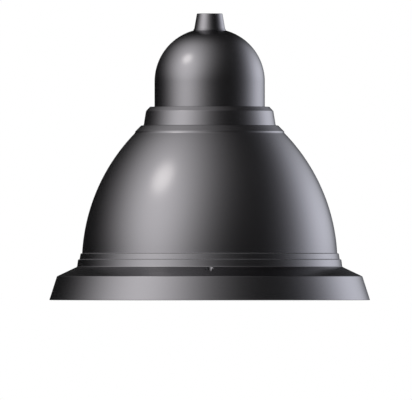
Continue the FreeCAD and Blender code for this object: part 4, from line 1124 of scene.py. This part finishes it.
lip = glass_high.x - GASKET_INSIDE
gasket = Section(lip, glass_low.z)
gasket.line(lip, z_shelf, CORNER)
gasket.line(gasket_high.x, z_shelf)
gasket.line(gasket_high.x, gasket_high.z)
gasket.line(lip, gasket_high.z, CORNER)
gasket.line(lip, glass_high.z)
gasket.line(glass_high.x, glass_high.z)
gasket.line(glass_high.x, glass_low.z)
add_piece("channel_gasket", "glass_gasket", gasket.turned())

reflector_low, reflector_high = corners("reflector_ring")
lens_low, lens_high = corners("lens_panel")
z_sink_under = reflector_high.z
flange_start = lens_high.x + 2 * FIT_GAP
flange_end = flange_start + REFLECTOR_FLANGE
z_flange_under = z_sink_under - REFLECTOR_WALL
skirt = Section(flange_start, z_sink_under)
skirt.line(flange_start, z_flange_under)
skirt.line(flange_end, z_flange_under, REFLECTOR_WALL)
skirt.line(reflector_high.x - REFLECTOR_WALL, reflector_low.z)
skirt.line(reflector_high.x, reflector_low.z)
skirt.line(flange_end + REFLECTOR_WALL, z_sink_under, REFLECTOR_WALL)
flange_circle = flange_start + REFLECTOR_FLANGE / 2
flange_angles = angles_round(6, 30)
flange_holes = bar(SMALL_CLEARANCE, z_flange_under - PAST, z_sink_under + PAST, TINY_STEPS)
reflector_mesh = carve(skirt.turned(), spread(flange_holes, flange_circle, flange_angles))
add_piece("spun_reflector", "reflector_ring", reflector_mesh)

# %% [markdown]
# Above the glass hangs the lens panel: one moulded plate with a round lens under every LED, a pocket over
# each LED, and nine small screws round its edge. The lenses are arcs turned into caps and joined to the
# plate.

# %% Lens panel
LENS_RADIUS = 9.5
LENS_RISE = 5.5
LENS_PLATE = 4.0
LENS_POCKET = 4.5
LENS_POCKET_DEPTH = 1.7
LENS_EDGE = 0.6
LENS_SCREW_INSET = 5.7
LENS_STEPS = 32
CAP_STEPS = 10
LED_EDGE = 22.0
LED_RING_STEP = 35.0
LED_PITCH = 38.0
SMALL_SHANK = 1.5
SMALL_HEAD = 2.8
SMALL_HEAD_HEIGHT = 1.5
SMALL_FLATS = 2.0
TAPPED_DEPTH = 3.0

outer_ring = corners("led_board")[1].x - LED_EDGE
led_rings = [outer_ring - LED_RING_STEP * index for index in range(3)]
led_counts = [int(math.tau * radius / LED_PITCH) for radius in led_rings]
z_lens_under = lens_high.z - LENS_PLATE
ball = (LENS_RADIUS**2 + LENS_RISE**2) / (2 * LENS_RISE)
lens_turn = math.asin(LENS_RADIUS / ball)
lens_circle = lens_high.x - LENS_SCREW_INSET
board_circle = outer_ring - LED_RING_STEP / 2


def lens_pocket():
    """A drill for a pocket in the top of the lens panel."""
    return bar(LENS_POCKET, lens_high.z - LENS_POCKET_DEPTH, lens_high.z + PAST, TINY_STEPS)


plate = Section(0, z_lens_under)
plate.line(lens_high.x, z_lens_under, LENS_EDGE)
plate.line(lens_high.x, lens_high.z, LENS_EDGE)
plate.line(0, lens_high.z)
lens_mesh = plate.turned()
for radius, count in zip(led_rings, led_counts):
    cap = Section(0, lens_low.z)
    cap.arc((0, lens_low.z + ball), lens_turn, CAP_STEPS)
    cap.line(LENS_RADIUS, z_lens_under + PAST)
    cap.line(0, z_lens_under + PAST)
    angles = angles_round(count, 180 / count)
    lens_mesh = carve(lens_mesh, spread(cap.turned(LENS_STEPS), radius, angles), "UNION")
    lens_mesh = carve(lens_mesh, spread(lens_pocket(), radius, angles))
lens_mesh = carve(lens_mesh, spread(lens_pocket(), board_circle, angles_round(6)))
lens_holes = bar(SMALL_CLEARANCE, z_lens_under - PAST, lens_high.z + PAST, TINY_STEPS)
lens_mesh = carve(lens_mesh, spread(lens_holes, lens_circle, angles_round(9)))
add_piece("moulded_lenses", "lens_panel", lens_mesh)


# %% Small screws
def small_screw(through):
    """A small socket screw that looks down, long enough to go through a thickness and hold."""
    length = through + TAPPED_DEPTH
    return socket_screw(SMALL_SHANK, length, SMALL_HEAD, SMALL_HEAD_HEIGHT, SMALL_FLATS, True)


lens_screws = spread(small_screw(z_sink_under - z_lens_under), lens_circle, angles_round(9), z_lens_under)
add_piece("lens_panel_screws", "lens_screws", lens_screws)
flange_screws = spread(small_screw(REFLECTOR_WALL), flange_circle, flange_angles, z_flange_under)
add_piece("reflector_flange_screws", "reflector_screws", flange_screws)

# %% [markdown]
# ## LEDs and their board
#
# An LED here is a small white ceramic square with a low dome of yellow phosphor. The square has bevelled
# corners, and a turned dome is joined to its lower face. One finish serves both: its colour changes from
# ceramic to phosphor at the height where the dome starts. The board is white, and the copper under its
# coat shows faintly as rings that join the LEDs.

# %% LEDs
LED_SIDE = 5.0
LED_BASE = 0.6
LED_DOME = 2.1
LED_CORNER = 0.4
LED_SEAM = (0.08, 0.02)
DOME_STEPS = 6

led_low, led_high = corners("leds")
z_led_dome = led_high.z - LED_BASE
ceramic = new_finish("led_phosphor")
place = ceramic.node("TexCoord", {}, {}, "Object")
height = ceramic.node("SeparateXYZ", {}, {0: place}, "Z")
is_base = ramp(height, (z_led_dome - LED_SEAM[0]) * MM, (z_led_dome - LED_SEAM[1]) * MM)
grains = noise(ceramic, 6000.0, 2.0)
surface(
    ceramic,
    Base_Color=blend(is_base, (0.85, 0.66, 0.1), (0.8, 0.8, 0.77)),
    Roughness=0.35 + 0.25 * is_base + 0.1 * (grains - 0.5),
    Normal=bump(grains, 0.02),
)

led = bmesh.new()
led_place = Matrix.Translation((0, 0, led_high.z - LED_BASE / 2))
bmesh.ops.create_cube(led, size=1.0, matrix=led_place @ Matrix.Diagonal((LED_SIDE, LED_SIDE, LED_BASE, 1)))
upright = [edge for edge in led.edges if abs(edge.verts[0].co.z - edge.verts[1].co.z) > LED_BASE / 2]
bmesh.ops.bevel(led, geom=upright, offset=LED_CORNER, affect="EDGES", segments=3, profile=0.5, material=-1)
dome_rise = z_led_dome - led_low.z
dome_ball = (LED_DOME**2 + dome_rise**2) / (2 * dome_rise)
phosphor = Section(0, led_low.z)
phosphor.arc((0, led_low.z + dome_ball), math.asin(LED_DOME / dome_ball), DOME_STEPS)
phosphor.line(LED_DOME, z_led_dome + LED_BASE / 2)
phosphor.line(0, z_led_dome + LED_BASE / 2)
led_unit = mesh_object("led_unit", carve(led, phosphor.turned(TINY_STEPS), "UNION"))
leds = bmesh.new()
for radius, count in zip(led_rings, led_counts):
    for angle in angles_round(count, 180 / count):
        before = len(leds.verts)
        leds.from_mesh(led_unit.data)
        leds.verts.ensure_lookup_table()
        spot = (radius * math.cos(angle), radius * math.sin(angle), 0)
        bmesh.ops.translate(leds, vec=spot, verts=leds.verts[before:])
bpy.data.meshes.remove(led_unit.data)
add_piece("led_packages", "leds", leds)

# %% Board
TRACE = 2.4
TRACE_FADE = 0.3

mask = new_finish("white_board")
place = mask.node("TexCoord", {}, {}, "Object")
level = mask.node("VectorMath", {"operation": "MULTIPLY"}, {0: place, 1: (1, 1, 0)}, "Vector")
reach = mask.node("VectorMath", {"operation": "LENGTH"}, {0: level}, "Value")
traces = 0.0
for radius in led_rings:
    aside = reach.maths("ABSOLUTE", reach - radius * MM)
    traces = traces + ramp(aside, (TRACE + TRACE_FADE) * MM, TRACE * MM)
speckle = noise(mask, 1400.0, 3.0)
surface(
    mask,
    Base_Color=blend(0.8 * traces + 0.2 * speckle, (0.8, 0.81, 0.79), (0.66, 0.67, 0.63)),
    Roughness=0.32 + 0.12 * (speckle - 0.5),
    Normal=bump(traces + 0.05 * speckle, 0.05),
)
print("board with", len(led_rings), "rings of", led_counts, "LEDs")

# %% [markdown]
# ## The pieces that keep their construction shape
#
# Seals, washers, clips, the heat sink and the gear inside keep the mesh of the frame, so they only need
# their finishes.

# %% Finishes of the other pieces
kept = [name for name, node in frame["nodes"].items() if not node.hide_render]
for name in kept:
    for holder in frame["nodes"][name].material_slots:
        holder.material = finishes[slot_of[name]]
print(len(kept), "pieces keep their shape")
